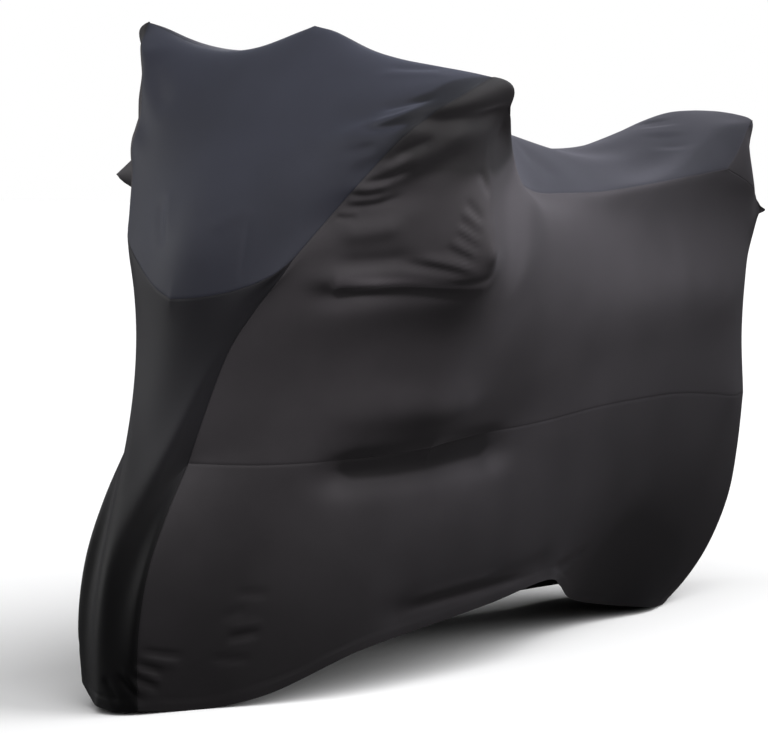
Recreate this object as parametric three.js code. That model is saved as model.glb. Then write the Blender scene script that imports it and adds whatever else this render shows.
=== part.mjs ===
// A fitted stretch cover as it hangs over a motorcycle that leans to its left.
// Lengths are in millimetres. The tables set the cloth out on an upright motorcycle:
// x runs forward, y to its left and z up from the floor. The whole is then leaned over.
import * as THREE from 'three';

const SHEET = 1.6;
const SEAM_GAP = 0.3;
// Keeps a panel's corner from being cut back too far where its edges meet at a sharp angle.
const SHARPEST = 0.3;
const LEAN = THREE.MathUtils.degToRad(9.8);

// Cells of cloth along each run of seam.
const CELLS = { half: 7, low: 8, high: 18, cheek: 18, seat: 20, tail: 6 };
const BELT_ROW = 7;
const BILGE_ROW = 4;
const SHOULDER_COLUMN = 4;
// The cells behind the mirrors grow towards the tail, where the cloth is plainer.
const SEAT_GROWTH = 1.3;
const RELAX_ROUNDS = 260;
const RELAX_BEND = 0.22;
const RELAX_PULL = 0.03;

// Points where seams meet, and the points that hold the cloth out.
const POINT = {
  toe: { x: 840, y: 0, z: 12 },
  frontHem: { x: 811, y: 63, z: 17, rightZ: 32 },
  shin: { x: 767, y: 66, z: 425 },
  chin: { x: 785, y: 0, z: 680 },
  cheek: { x: 706, y: 174, z: 775, rightY: 178 },
  screenTop: { x: 511, y: 0, z: 1127 },
  mirrorTop: { x: 508, y: 364, z: 1098, rightX: 510, rightZ: 1083 },
  tailTop: { x: -872, y: 0, z: 1002 },
  tailTip: { x: -1013, y: 0, z: 813 },
  tailEdge: { x: -998, y: 27, z: 813 },
  tailCorner: { x: -632, y: 140, z: 915 },
  rearLevel: { x: -905, y: 98, z: 448 },
  rearHem: { x: -722, y: 96, z: 18 },
  heel: { x: -806, y: 0, z: 20 },
};

// Each run of seam, hem or ridge is a smooth line through its rows.
const TOE_HEM = [{ x: 834, y: 34, z: 12, rightX: 816 }];
const SIDE_HEM_FRONT = [
  { x: 702, y: 110, z: 18 },
  { x: 618, y: 165, z: 45 },
  { x: 475, y: 232, z: 118 },
];
const FOOT_HEM = { x: 330, y: 250, z: 144 };
const SIDE_HEM_REAR = [
  { x: 137, y: 258, z: 168, rightZ: 120 },
  { x: -50, y: 248, z: 186, rightZ: 88 },
  { x: -166, y: 200, z: 149, rightZ: 62 },
  { x: -286, y: 151, z: 97, rightZ: 40 },
  { x: -452, y: 124, z: 58, rightZ: 16 },
  { x: -622, y: 126, z: 32, rightZ: 8 },
];
const HEEL_HEM = [{ x: -795, y: 58, z: 18 }];
const FRONT_LINE = [
  { x: 862, y: 0, z: 140 },
  { x: 862, y: 0, z: 250 },
  { x: 838, y: 0, z: 335 },
  { x: 798, y: 0, z: 435 },
  { x: 780, y: 0, z: 570 },
];
const NOSE_LINE = [
  { x: 788, y: 0, z: 745 },
  { x: 758, y: 0, z: 835 },
  { x: 695, y: 0, z: 930 },
  { x: 612, y: 0, z: 1035 },
  { x: 550, y: 0, z: 1100 },
];
const SADDLE_LINE = [
  { x: 400, y: 0, z: 1080 },
  { x: 270, y: 0, z: 1025 },
  { x: 130, y: 0, z: 993 },
  { x: 0, y: 0, z: 971 },
  { x: -130, y: 0, z: 944 },
  { x: -240, y: 0, z: 924 },
  { x: -340, y: 0, z: 913 },
  { x: -430, y: 0, z: 914 },
  { x: -506, y: 0, z: 931 },
  { x: -600, y: 0, z: 975 },
  { x: -690, y: 0, z: 988 },
  { x: -800, y: 0, z: 999 },
];
// Half way between the middle of the seat and its seam.
const SHOULDER_LINE = [
  { x: 400, y: 190, z: 1048 },
  { x: 270, y: 156, z: 990 },
  { x: 130, y: 134, z: 960 },
  { x: -130, y: 112, z: 922 },
  { x: -340, y: 100, z: 900, rightZ: 908 },
  { x: -430, y: 99, z: 903, rightZ: 910 },
  { x: -506, y: 97, z: 919 },
  { x: -600, y: 92, z: 962, rightZ: 957 },
  { x: -690, y: 84, z: 984 },
];
const TAIL_LINE_LOW = [
  { x: -925, y: 0, z: 150 },
  { x: -958, y: 0, z: 300 },
  { x: -955, y: 0, z: 450 },
  { x: -945, y: 0, z: 600 },
  { x: -962, y: 0, z: 740 },
];
const TAIL_LINE_HIGH = [
  { x: -912, y: 0, z: 862 },
  { x: -868, y: 0, z: 925 },
  { x: -870, y: 0, z: 975 },
];
const FRONT_SEAM_LOW = [
  { x: 835, y: 66, z: 140 },
  { x: 833, y: 67, z: 250 },
  { x: 806, y: 67, z: 340 },
];
const FRONT_SEAM_HIGH = [
  { x: 755, y: 80, z: 520, rightY: 76 },
  { x: 744, y: 103, z: 620, rightY: 100 },
  { x: 728, y: 136, z: 695 },
  { x: 716, y: 161, z: 742, rightY: 165 },
];
const CHIN_SEAM = [
  { x: 776, y: 42, z: 690 },
  { x: 751, y: 100, z: 712 },
  { x: 727, y: 156, z: 748 },
];
const MIRROR_SEAM = [
  { x: 673, y: 211, z: 850 },
  { x: 655, y: 250, z: 915, rightY: 233 },
  { x: 634, y: 287, z: 976, rightY: 256 },
  { x: 600, y: 322, z: 1030, rightY: 290 },
  { x: 562, y: 350, z: 1066, rightY: 330, rightZ: 1054 },
];
// The brow dips further between the screen and the right mirror than on the left.
const BROW = [
  { x: 512, y: 45, z: 1123, rightZ: 1104 },
  { x: 516, y: 110, z: 1107, rightZ: 1072 },
  { x: 516, y: 180, z: 1100, rightZ: 1060 },
  { x: 510, y: 260, z: 1099, rightZ: 1061 },
  { x: 506, y: 325, z: 1099, rightZ: 1073 },
];
const SEAT_SEAM = [
  { x: 480, y: 354, z: 1072 },
  { x: 444, y: 335, z: 1030 },
  { x: 390, y: 310, z: 979 },
  { x: 335, y: 285, z: 947 },
  { x: 272, y: 257, z: 924 },
  { x: 168, y: 222, z: 902 },
  { x: 39, y: 204, z: 886 },
  { x: -92, y: 194, z: 882 },
  { x: -281, y: 180, z: 892, rightZ: 876 },
  { x: -470, y: 160, z: 905, rightZ: 886 },
];
const TAIL_SEAM = [
  { x: -862, y: 38, z: 1002 },
  { x: -812, y: 78, z: 1000 },
  { x: -752, y: 100, z: 974 },
  { x: -694, y: 120, z: 942 },
];
const LEVEL_SEAM_FRONT = [
  { x: 690, y: 128, z: 430 },
  { x: 596, y: 179, z: 438, rightY: 186 },
  { x: 470, y: 214, z: 444, rightY: 224 },
];
const FOOT_LEVEL = { x: 340, y: 233, z: 454, rightY: 240 };
const LEVEL_SEAM_REAR = [
  { x: 178, y: 235, z: 471 },
  { x: 24, y: 243, z: 484 },
  { x: -132, y: 244, z: 498 },
  { x: -297, y: 230, z: 500 },
  { x: -470, y: 204, z: 494 },
  { x: -640, y: 174, z: 476 },
  { x: -800, y: 140, z: 455 },
];
const REAR_SEAM_LOW = [
  { x: -795, y: 98, z: 66 },
  { x: -860, y: 100, z: 134 },
  { x: -908, y: 100, z: 234 },
  { x: -914, y: 99, z: 335 },
];
const REAR_SEAM_HIGH = [
  { x: -884, y: 84, z: 570 },
  { x: -892, y: 68, z: 680 },
  { x: -928, y: 44, z: 765 },
];
const TAIL_RIDGE = [
  { x: -915, y: 58, z: 844 },
  { x: -785, y: 102, z: 882 },
];
// The line that the handlebar's end and the mirror hold out, from the level seam up and over
// the mirror. The bars stand turned to the left, so the two sides differ.
const RIDGE = [
  { x: 354, y: 250, z: 492 },
  { x: 374, y: 266, z: 538 },
  { x: 398, y: 281, z: 612 },
  { x: 415, y: 297, z: 680 },
  { x: 432, y: 330, z: 732, rightX: 450, rightY: 325 },
  { x: 450, y: 379, z: 780, rightX: 505, rightY: 358, rightZ: 812 },
  { x: 462, y: 360, z: 930, rightY: 351 },
  { x: 448, y: 351, z: 1014, rightX: 484, rightY: 362, rightZ: 1005 },
  { x: 470, y: 380, z: 1062, rightX: 498, rightY: 388, rightZ: 1042 },
  { x: 476, y: 387, z: 1081, rightX: 500, rightY: 391, rightZ: 1063 },
  { x: 487, y: 381, z: 1093, rightX: 504, rightY: 379, rightZ: 1077 },
];
// Hard ends that poke into the cloth from inside draw it out to a tip.
const TIPS = [
  { side: 'right', x: 508, y: 398, z: 812, reach: 62 },
];
// Folds of the stretched cloth, as straight troughs (depth below zero) and ridges, each
// running from one end to the other in the upright motorcycle's frame.
const FOLDS = [
  { side: 'left', x: 579, y: 326, z: 1057, toX: 632, toY: 209, toZ: 1011, width: 26, depth: -7 },
  { side: 'left', x: 585, y: 332, z: 1047, toX: 648, toY: 213, toZ: 986, width: 24, depth: 6 },
  { side: 'left', x: 584, y: 329, z: 992, toX: 660, toY: 250, toZ: 925, width: 24, depth: -7 },
  { side: 'left', x: 560, y: 345, z: 985, toX: 640, toY: 262, toZ: 905, width: 24, depth: 5 },
  { side: 'left', x: 550, y: 345, z: 962, toX: 662, toY: 239, toZ: 880, width: 24, depth: -7 },
  { side: 'left', x: 594, y: 290, z: 892, toX: 667, toY: 223, toZ: 844, width: 24, depth: -5 },
  { side: 'left', x: 592, y: 326, z: 1024, toX: 484, toY: 372, toZ: 1036, width: 18, depth: -14 },
  { side: 'left', x: 642, y: 213, z: 748, toX: 449, toY: 376, toZ: 770, width: 22, depth: 7 },
  { side: 'left', x: 623, y: 221, z: 728, toX: 434, toY: 367, toZ: 742, width: 24, depth: -8 },
  { side: 'left', x: 100, y: 222, z: 880, toX: 220, toY: 280, toZ: 740, width: 64, depth: -10 },
  { side: 'left', x: 530, y: 200, z: 416, toX: 170, toY: 242, toZ: 436, width: 30, depth: -14 },
  { side: 'left', x: 520, y: 232, z: 520, toX: 330, toY: 266, toZ: 528, width: 42, depth: 9 },
  { side: 'left', x: 382, y: 246, z: 181, toX: -10, toY: 249, toZ: 215, width: 26, depth: -6 },
  { side: 'left', x: -938, y: 46, z: 862, toX: -838, toY: 72, toZ: 948, width: 44, depth: -15 },
  { side: 'right', x: -938, y: 46, z: 862, toX: -838, toY: 72, toZ: 948, width: 44, depth: -12 },
  { side: 'right', x: -475, y: 128, z: 916, toX: -590, toY: 128, toZ: 938, width: 38, depth: -9 },
  { side: 'right', x: 545, y: 345, z: 1030, toX: 600, toY: 285, toZ: 960, width: 32, depth: -7 },
  { side: 'right', x: 590, y: 300, z: 990, toX: 655, toY: 226, toZ: 930, width: 28, depth: -7 },
  { side: 'right', x: 570, y: 318, z: 950, toX: 655, toY: 226, toZ: 890, width: 28, depth: 6 },
  { side: 'right', x: 640, y: 213, z: 752, toX: 500, toY: 352, toZ: 780, width: 30, depth: -7 },
  { side: 'right', x: 560, y: 196, z: 430, toX: 100, toY: 250, toZ: 462, width: 44, depth: -8 },
  { side: 'right', x: 90, y: 231, z: 885, toX: 270, toY: 300, toZ: 720, width: 62, depth: -9 },
  { side: 'right', x: -165, y: 219, z: 174, toX: -240, toY: 198, toZ: 215, width: 50, depth: -10 },
];
const BELT_FRONT = [
  { x: 640, y: 178, z: 616 },
  { x: 530, y: 240, z: 664 },
];
const BELT_REAR = [
  { x: 280, y: 296, z: 688 },
  { x: 100, y: 272, z: 672 },
  { x: -120, y: 258, z: 676 },
  { x: -350, y: 234, z: 682, rightY: 240 },
  { x: -560, y: 196, z: 680 },
  { x: -740, y: 146, z: 672 },
];
const BILGE_FRONT = [
  { x: 690, y: 128, z: 240 },
  { x: 530, y: 212, z: 266 },
];
const FOOT_BILGE = { x: 340, y: 252, z: 290 };
const BILGE_REAR = [
  { x: 150, y: 258, z: 308 },
  { x: -20, y: 250, z: 316 },
  { x: -190, y: 226, z: 305 },
  { x: -330, y: 202, z: 292 },
  { x: -500, y: 180, z: 280 },
  { x: -700, y: 152, z: 262 },
];

// The right side is the left one mirrored, but where a row gives its own values.
const SIDES = [
  { name: 'left', sign: 1 },
  { name: 'right', sign: -1, x: 'rightX', y: 'rightY', z: 'rightZ' },
];

function vector(row, side) {
  const y = row[side.y] ?? row.y;
  return new THREE.Vector3(row[side.x] ?? row.x, y * side.sign, row[side.z] ?? row.z);
}

// A smooth line from one row to another, by way of the rows between, cut into equal cells.
function line(side, cells, start, between, end, growth = 1) {
  const rows = [start, ...between, end];
  const points = rows.map((row) => (row.isVector3 ? row : vector(row, side)));
  const curve = new THREE.CatmullRomCurve3(points, false, 'centripetal');
  curve.arcLengthDivisions = 600;
  return Array.from({ length: cells + 1 }, (_, i) => curve.getPointAt((i / cells) ** growth));
}

// A line along the seat's length, behind the mirrors.
const seatLine = (side, start, between, end) => line(side, CELLS.seat, start, between, end, SEAT_GROWTH);

// Two runs of seam end to end.
const joined = (first, second) => [...first, ...second.slice(1)];

// Fills one block of a grid between the four lines around it.
function fillBlock(grid, rows, columns) {
  const [low, high] = rows;
  const [near, far] = columns;
  for (let r = low + 1; r < high; r += 1) {
    const v = (r - low) / (high - low);
    for (let c = near + 1; c < far; c += 1) {
      const u = (c - near) / (far - near);
      const point = new THREE.Vector3();
      point.addScaledVector(grid[low][c], 1 - v);
      point.addScaledVector(grid[high][c], v);
      point.addScaledVector(grid[r][near], 1 - u);
      point.addScaledVector(grid[r][far], u);
      point.addScaledVector(grid[low][near], -(1 - v) * (1 - u));
      point.addScaledVector(grid[low][far], -(1 - v) * u);
      point.addScaledVector(grid[high][near], -v * (1 - u));
      point.addScaledVector(grid[high][far], -v * u);
      grid[r][c] = point;
    }
  }
}

// A grid of cloth points, from lines laid along some of its rows and columns.
function weaveGrid(rowLines, columnLines) {
  const rowKeys = Object.keys(rowLines).map(Number);
  const columnKeys = Object.keys(columnLines).map(Number);
  const height = Math.max(...rowKeys);
  const width = Math.max(...columnKeys);
  const grid = Array.from({ length: height + 1 }, () => new Array(width + 1).fill(null));
  for (const c of columnKeys) {
    columnLines[c].forEach((point, r) => {
      grid[r][c] = point;
    });
  }
  for (const r of rowKeys) {
    rowLines[r].forEach((point, c) => {
      grid[r][c] = point;
    });
  }
  for (let i = 1; i < rowKeys.length; i += 1) {
    for (let j = 1; j < columnKeys.length; j += 1) {
      fillBlock(grid, [rowKeys[i - 1], rowKeys[i]], [columnKeys[j - 1], columnKeys[j]]);
    }
  }
  return grid;
}

// The runs of seam and hem on one side of the motorcycle.
function seamsOf(side) {
  const p = Object.fromEntries(Object.entries(POINT).map(([name, row]) => [name, vector(row, side)]));
  const foot = vector(FOOT_LEVEL, side);
  const footHem = vector(FOOT_HEM, side);
  const footBilge = vector(FOOT_BILGE, side);
  const rise = CELLS.low + CELLS.high;
  const s = {
    toeHem: line(side, CELLS.half, p.toe, TOE_HEM, p.frontHem),
    hemFront: line(side, CELLS.cheek, p.frontHem, SIDE_HEM_FRONT, footHem),
    hemRear: seatLine(side, footHem, SIDE_HEM_REAR, p.rearHem),
    heelHem: line(side, CELLS.half, p.heel, HEEL_HEM, p.rearHem),
    frontLine: line(side, rise, p.toe, FRONT_LINE, p.chin),
    noseLine: line(side, CELLS.cheek, p.chin, NOSE_LINE, p.screenTop),
    saddleLine: seatLine(side, p.screenTop, SADDLE_LINE, p.tailTop),
    tailLine: joined(
      line(side, rise - CELLS.tail, p.heel, TAIL_LINE_LOW, p.tailTip),
      line(side, CELLS.tail, p.tailTip, TAIL_LINE_HIGH, p.tailTop),
    ),
    frontLow: line(side, CELLS.low, p.frontHem, FRONT_SEAM_LOW, p.shin),
    frontHigh: line(side, CELLS.high, p.shin, FRONT_SEAM_HIGH, p.cheek),
    chinSeam: line(side, CELLS.half, p.chin, CHIN_SEAM, p.cheek),
    mirrorSeam: line(side, CELLS.cheek, p.cheek, MIRROR_SEAM, p.mirrorTop),
    brow: line(side, CELLS.half, p.screenTop, BROW, p.mirrorTop),
    seatSeam: seatLine(side, p.mirrorTop, SEAT_SEAM, p.tailCorner),
    tailSeam: line(side, CELLS.half, p.tailTop, TAIL_SEAM, p.tailCorner),
    levelFront: line(side, CELLS.cheek, p.shin, LEVEL_SEAM_FRONT, foot),
    levelRear: seatLine(side, foot, LEVEL_SEAM_REAR, p.rearLevel),
    tipLine: line(side, CELLS.half, p.tailTip, [], p.tailEdge),
    rearLow: line(side, CELLS.low, p.rearHem, REAR_SEAM_LOW, p.rearLevel),
    rearHigh: joined(
      line(side, CELLS.high - CELLS.tail, p.rearLevel, REAR_SEAM_HIGH, p.tailEdge),
      line(side, CELLS.tail, p.tailEdge, TAIL_RIDGE, p.tailCorner),
    ),
  };
  const ridge = line(side, CELLS.high, foot, RIDGE, p.mirrorTop);
  const beltCrossing = ridge[BELT_ROW];
  const beltFront = line(side, CELLS.cheek, s.frontHigh[BELT_ROW], BELT_FRONT, beltCrossing);
  const beltRear = seatLine(side, beltCrossing, BELT_REAR, s.rearHigh[BELT_ROW]);
  const bilgeFront = line(side, CELLS.cheek, s.frontLow[BILGE_ROW], BILGE_FRONT, footBilge);
  const bilgeRear = seatLine(side, footBilge, BILGE_REAR, s.rearLow[BILGE_ROW]);
  const shoulder = seatLine(side, s.brow[SHOULDER_COLUMN], SHOULDER_LINE, s.tailSeam[SHOULDER_COLUMN]);
  return {
    ...s,
    ridge,
    shoulder,
    belt: joined(beltFront, beltRear),
    bilge: joined(bilgeFront, bilgeRear),
  };
}

// The grids of cloth points of one side. Those on the middle line are halves of a panel.
function gridsOf(side) {
  const s = seamsOf(side);
  const along = CELLS.cheek + CELLS.seat;
  const rise = CELLS.low + CELLS.high;
  const level = joined(s.levelFront, s.levelRear);
  const frontSeam = joined(s.frontLow, s.frontHigh);
  const rearSeam = joined(s.rearLow, s.rearHigh);
  return {
    front: weaveGrid({ 0: s.toeHem, [rise]: s.chinSeam }, { 0: s.frontLine, [CELLS.half]: frontSeam }),
    nose: weaveGrid(
      { 0: s.chinSeam, [CELLS.cheek]: s.brow }, { 0: s.noseLine, [CELLS.half]: s.mirrorSeam },
    ),
    saddle: weaveGrid(
      { 0: s.brow, [CELLS.seat]: s.tailSeam },
      { 0: s.saddleLine, [SHOULDER_COLUMN]: s.shoulder, [CELLS.half]: s.seatSeam },
    ),
    tail: weaveGrid(
      { 0: s.heelHem, [rise - CELLS.tail]: s.tipLine, [rise]: s.tailSeam },
      { 0: s.tailLine, [CELLS.half]: rearSeam },
    ),
    sideLow: weaveGrid(
      { 0: joined(s.hemFront, s.hemRear), [BILGE_ROW]: s.bilge, [CELLS.low]: level },
      { 0: s.frontLow, [along]: s.rearLow },
    ),
    sideHigh: weaveGrid(
      { 0: level, [BELT_ROW]: s.belt, [CELLS.high]: joined(s.mirrorSeam, s.seatSeam) },
      { 0: s.frontHigh, [CELLS.cheek]: s.ridge, [along]: s.rearHigh },
    ),
  };
}

// The whole cloth as one net: points shared along the seams, and the cells of each panel.
class Net {
  constructor() {
    this.points = [];
    this.keys = new Map();
    this.held = new Set();
    this.panels = new Map();
  }

  pointNumber(point) {
    const key = point.toArray().map((value) => Math.round(value * 100)).join(' ');
    if (!this.keys.has(key)) {
      this.keys.set(key, this.points.length);
      this.points.push(point.clone());
    }
    return this.keys.get(key);
  }

  addPanel(name, grid, heldRows, heldColumns) {
    const numbers = grid.map((row) => row.map((point) => this.pointNumber(point)));
    heldRows.forEach((r) => numbers[r].forEach((number) => this.held.add(number)));
    heldColumns.forEach((c) => numbers.forEach((row) => this.held.add(row[c])));
    this.panels.set(name, numbers);
  }

  cells(numbers) {
    const cells = [];
    for (let r = 1; r < numbers.length; r += 1) {
      for (let c = 1; c < numbers[r].length; c += 1) {
        cells.push([numbers[r - 1][c - 1], numbers[r - 1][c], numbers[r][c], numbers[r][c - 1]]);
      }
    }
    return cells;
  }

  neighbours() {
    const near = this.points.map(() => new Set());
    for (const numbers of this.panels.values()) {
      for (const cell of this.cells(numbers)) {
        cell.forEach((number, i) => {
          near[number].add(cell[(i + 1) % 4]);
          near[number].add(cell[(i + 3) % 4]);
        });
      }
    }
    return near.map((set) => [...set]);
  }

  // How far each point stands from the middle of its neighbours.
  unevenness(values, near) {
    return values.map((value, i) => {
      const middle = new THREE.Vector3();
      near[i].forEach((j) => middle.add(values[j]));
      return middle.multiplyScalar(1 / near[i].length).sub(value);
    });
  }

  // Lets the cloth between the held lines settle into the smoothest shape that they allow.
  relax() {
    const near = this.neighbours();
    for (let round = 0; round < RELAX_ROUNDS; round += 1) {
      const pull = this.unevenness(this.points, near);
      const bend = this.unevenness(pull, near);
      this.points.forEach((point, i) => {
        if (!this.held.has(i)) {
          point.addScaledVector(pull[i], RELAX_PULL).addScaledVector(bend[i], -RELAX_BEND);
        }
      });
    }
  }

  // Draws the cloth around a tip's end out to it.
  drawTip(tip) {
    const side = SIDES.find(({ name }) => name === tip.side);
    const end = vector(tip, side);
    const gap = (point) => point.distanceTo(end);
    const nearest = this.points.reduce((best, point) => (gap(point) < gap(best) ? point : best));
    const start = nearest.clone();
    const pull = new THREE.Vector3().subVectors(end, start);
    for (const point of this.points) {
      const share = 1 - point.distanceTo(start) / tip.reach;
      if (share > 0) {
        point.addScaledVector(pull, share ** 2);
      }
    }
  }

  // Presses one fold into the cloth, or raises it, fading towards its ends.
  addFold(fold, normals) {
    const side = SIDES.find(({ name }) => name === fold.side);
    const start = vector(fold, side);
    const end = vector({ x: fold.toX, y: fold.toY, z: fold.toZ }, side);
    const middle = new THREE.Line3(start, end);
    const nearest = new THREE.Vector3();
    this.points.forEach((point, i) => {
      const along = middle.closestPointToPointParameter(point, false);
      middle.at(along, nearest);
      const across = point.distanceTo(nearest) / fold.width;
      const beyond = Math.max(-along, along - 1, 0) * (middle.distance() / fold.width);
      const swell = Math.exp(-across * across) * Math.exp(-beyond * beyond);
      point.addScaledVector(normals[i], fold.depth * swell);
    });
  }

  normals() {
    const normals = this.points.map(() => new THREE.Vector3());
    const across = new THREE.Vector3();
    const along = new THREE.Vector3();
    for (const numbers of this.panels.values()) {
      for (const [a, b, c, d] of this.cells(numbers)) {
        across.subVectors(this.points[c], this.points[a]);
        along.subVectors(this.points[d], this.points[b]);
        const facing = new THREE.Vector3().crossVectors(across, along).normalize();
        [a, b, c, d].forEach((number) => normals[number].add(facing));
      }
    }
    return normals.map((normal) => normal.normalize());
  }
}

// Each side's grid is turned so that its cells are counted anticlockwise from outside.
const flipped = (grid) => grid.map((row) => [...row].reverse());

// A panel that crosses the middle line, from its right and left halves.
const whole = (right, left) => left.map((row, r) => [...flipped(right)[r], ...row.slice(1)]);

function coverNet() {
  const net = new Net();
  const [left, right] = SIDES.map(gridsOf);
  const rise = CELLS.low + CELLS.high;
  const along = CELLS.cheek + CELLS.seat;
  const middle = CELLS.half;
  const full = 2 * CELLS.half;
  net.addPanel('front_panel', whole(right.front, left.front), [0, rise], [0, middle, full]);
  net.addPanel('nose_panel', whole(right.nose, left.nose), [0, CELLS.cheek], [0, middle, full]);
  const saddleColumns = [0, middle - SHOULDER_COLUMN, middle, middle + SHOULDER_COLUMN, full];
  net.addPanel('saddle_panel', whole(right.saddle, left.saddle), [0, CELLS.seat], saddleColumns);
  const tailRows = [0, rise - CELLS.tail, rise];
  net.addPanel('tail_panel', whole(left.tail, right.tail), tailRows, [0, middle, full]);
  net.addPanel('side_lower_left', left.sideLow, [0, BILGE_ROW, CELLS.low], [0, along]);
  net.addPanel('side_lower_right', flipped(right.sideLow), [0, BILGE_ROW, CELLS.low], [0, along]);
  const sideColumns = { left: [0, CELLS.cheek, along], right: [0, CELLS.seat, along] };
  net.addPanel('side_upper_left', left.sideHigh, [0, BELT_ROW, CELLS.high], sideColumns.left);
  net.addPanel('side_upper_right', flipped(right.sideHigh), [0, BELT_ROW, CELLS.high], sideColumns.right);
  net.relax();
  TIPS.forEach((tip) => net.drawTip(tip));
  const smooth = net.normals();
  FOLDS.forEach((fold) => net.addFold(fold, smooth));
  return net;
}

// The way into a panel from a point on its edge, along the cloth. It is long enough for a
// step of one to stand one away from each stretch of edge that meets there.
function inward(points, numbers, r, c, normal) {
  const height = numbers.length - 1;
  const width = numbers[0].length - 1;
  const ways = [];
  const at = (row, column) => points[numbers[row][column]];
  const here = at(r, c);
  const addWay = (inner, before, after) => {
    const toBefore = new THREE.Vector3().subVectors(before, here).normalize();
    const toAfter = new THREE.Vector3().subVectors(after, here).normalize();
    const edge = new THREE.Vector3().subVectors(toAfter, toBefore).normalize();
    const way = new THREE.Vector3().subVectors(inner, here);
    way.addScaledVector(edge, -way.dot(edge));
    way.addScaledVector(normal, -way.dot(normal));
    const atEnd = before === here || after === here;
    const sharpness = Math.max(Math.sin(toBefore.angleTo(toAfter) / 2), SHARPEST);
    ways.push(way.normalize().divideScalar(atEnd ? 1 : sharpness));
  };
  const clamp = THREE.MathUtils.clamp;
  if (r === 0 || r === height) {
    addWay(at(r === 0 ? 1 : height - 1, c), at(r, clamp(c - 1, 0, width)), at(r, clamp(c + 1, 0, width)));
  }
  if (c === 0 || c === width) {
    addWay(at(r, c === 0 ? 1 : width - 1), at(clamp(r - 1, 0, height), c), at(clamp(r + 1, 0, height), c));
  }
  const step = ways.reduce((sum, way) => sum.add(way), new THREE.Vector3());
  return ways.length < 2 ? step : step.divideScalar(Math.max(1 + ways[0].dot(ways[1]), SHARPEST));
}

// The four edges of a panel as one loop of rows and columns, anticlockwise from outside.
function rimOf(numbers) {
  const height = numbers.length;
  const width = numbers[0].length;
  const rim = [];
  for (let c = 0; c < width - 1; c += 1) rim.push([0, c]);
  for (let r = 0; r < height - 1; r += 1) rim.push([r, width - 1]);
  for (let c = width - 1; c > 0; c -= 1) rim.push([height - 1, c]);
  for (let r = height - 1; r > 0; r -= 1) rim.push([r, 0]);
  return rim;
}

// One panel as a closed sheet: an outer skin, an inner skin and the rim between them.
function panelGeometry(net, normals, numbers) {
  const height = numbers.length;
  const width = numbers[0].length;
  const positions = [];
  for (const lift of [SHEET / 2, -SHEET / 2]) {
    for (let r = 0; r < height; r += 1) {
      for (let c = 0; c < width; c += 1) {
        const number = numbers[r][c];
        const point = net.points[number].clone();
        point.addScaledVector(inward(net.points, numbers, r, c, normals[number]), SEAM_GAP / 2);
        point.addScaledVector(normals[number], lift);
        positions.push(point.x, point.y, point.z);
      }
    }
  }
  const inner = height * width;
  const index = (r, c) => r * width + c;
  const triangles = [];
  const addCell = (a, b, c, d) => triangles.push(a, b, c, a, c, d);
  for (let r = 1; r < height; r += 1) {
    for (let c = 1; c < width; c += 1) {
      const corners = [index(r - 1, c - 1), index(r - 1, c), index(r, c), index(r, c - 1)];
      addCell(...corners);
      const [a, b, d, e] = corners.map((corner) => corner + inner);
      triangles.push(a, d, b, a, e, d);
    }
  }
  // A cell of the rim is split on its shorter diagonal, the same one as across the seam.
  const skinPoint = (number, lift) => net.points[number].clone().addScaledVector(normals[number], lift);
  const reach = (from, to) => skinPoint(from, -SHEET / 2).distanceTo(skinPoint(to, SHEET / 2));
  const rim = rimOf(numbers);
  rim.forEach(([r, c], i) => {
    const [nextR, nextC] = rim[(i + 1) % rim.length];
    const corner = index(r, c);
    const next = index(nextR, nextC);
    if (reach(numbers[r][c], numbers[nextR][nextC]) < reach(numbers[nextR][nextC], numbers[r][c])) {
      addCell(corner + inner, next + inner, next, corner);
    } else {
      addCell(next + inner, next, corner, corner + inner);
    }
  });
  const geometry = new THREE.BufferGeometry();
  geometry.setAttribute('position', new THREE.Float32BufferAttribute(positions, 3));
  geometry.setIndex(triangles);
  geometry.computeVertexNormals();
  return geometry;
}

const CLOTH = {
  front_panel: { color: 0x1c1921, roughness: 0.78 },
  nose_panel: { color: 0x2c2b36, roughness: 0.72 },
  saddle_panel: { color: 0x34343b, roughness: 0.74 },
  tail_panel: { color: 0x2e2d33, roughness: 0.76 },
  side_upper_left: { color: 0x2b292f, roughness: 0.75 },
  side_upper_right: { color: 0x2b292f, roughness: 0.75 },
  side_lower_left: { color: 0x242226, roughness: 0.77 },
  side_lower_right: { color: 0x242226, roughness: 0.77 },
};

function motorcycleCover() {
  const net = coverNet();
  const normals = net.normals();
  const leaning = new THREE.Group();
  leaning.rotation.x = -LEAN;
  for (const [name, numbers] of net.panels) {
    const material = new THREE.MeshStandardMaterial({ ...CLOTH[name], metalness: 0 });
    const mesh = new THREE.Mesh(panelGeometry(net, normals, numbers), material);
    mesh.name = name;
    leaning.add(mesh);
  }
  // The origin stands on the floor, under the middle of the cover.
  const cover = new THREE.Group();
  cover.add(leaning);
  cover.updateMatrixWorld(true);
  const box = new THREE.Box3().setFromObject(cover, true);
  const middle = box.getCenter(new THREE.Vector3());
  cover.position.set(-middle.x, -middle.y, -box.min.z);
  return cover;
}

export default motorcycleCover();
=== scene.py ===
"""A fitted stretch cover as it hangs over a motorcycle that leans to its left.

The tables are in millimetres, on an upright motorcycle: x runs forward, y to its left and z
up from the floor. The cloth is leaned over with the motorcycle and made in metres at the end.
"""

import logging
import math
from dataclasses import dataclass
from enum import Enum
from typing import Any, Optional, Sequence, Union

import bpy
import numpy as np
from mathutils import Matrix, Vector


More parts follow.
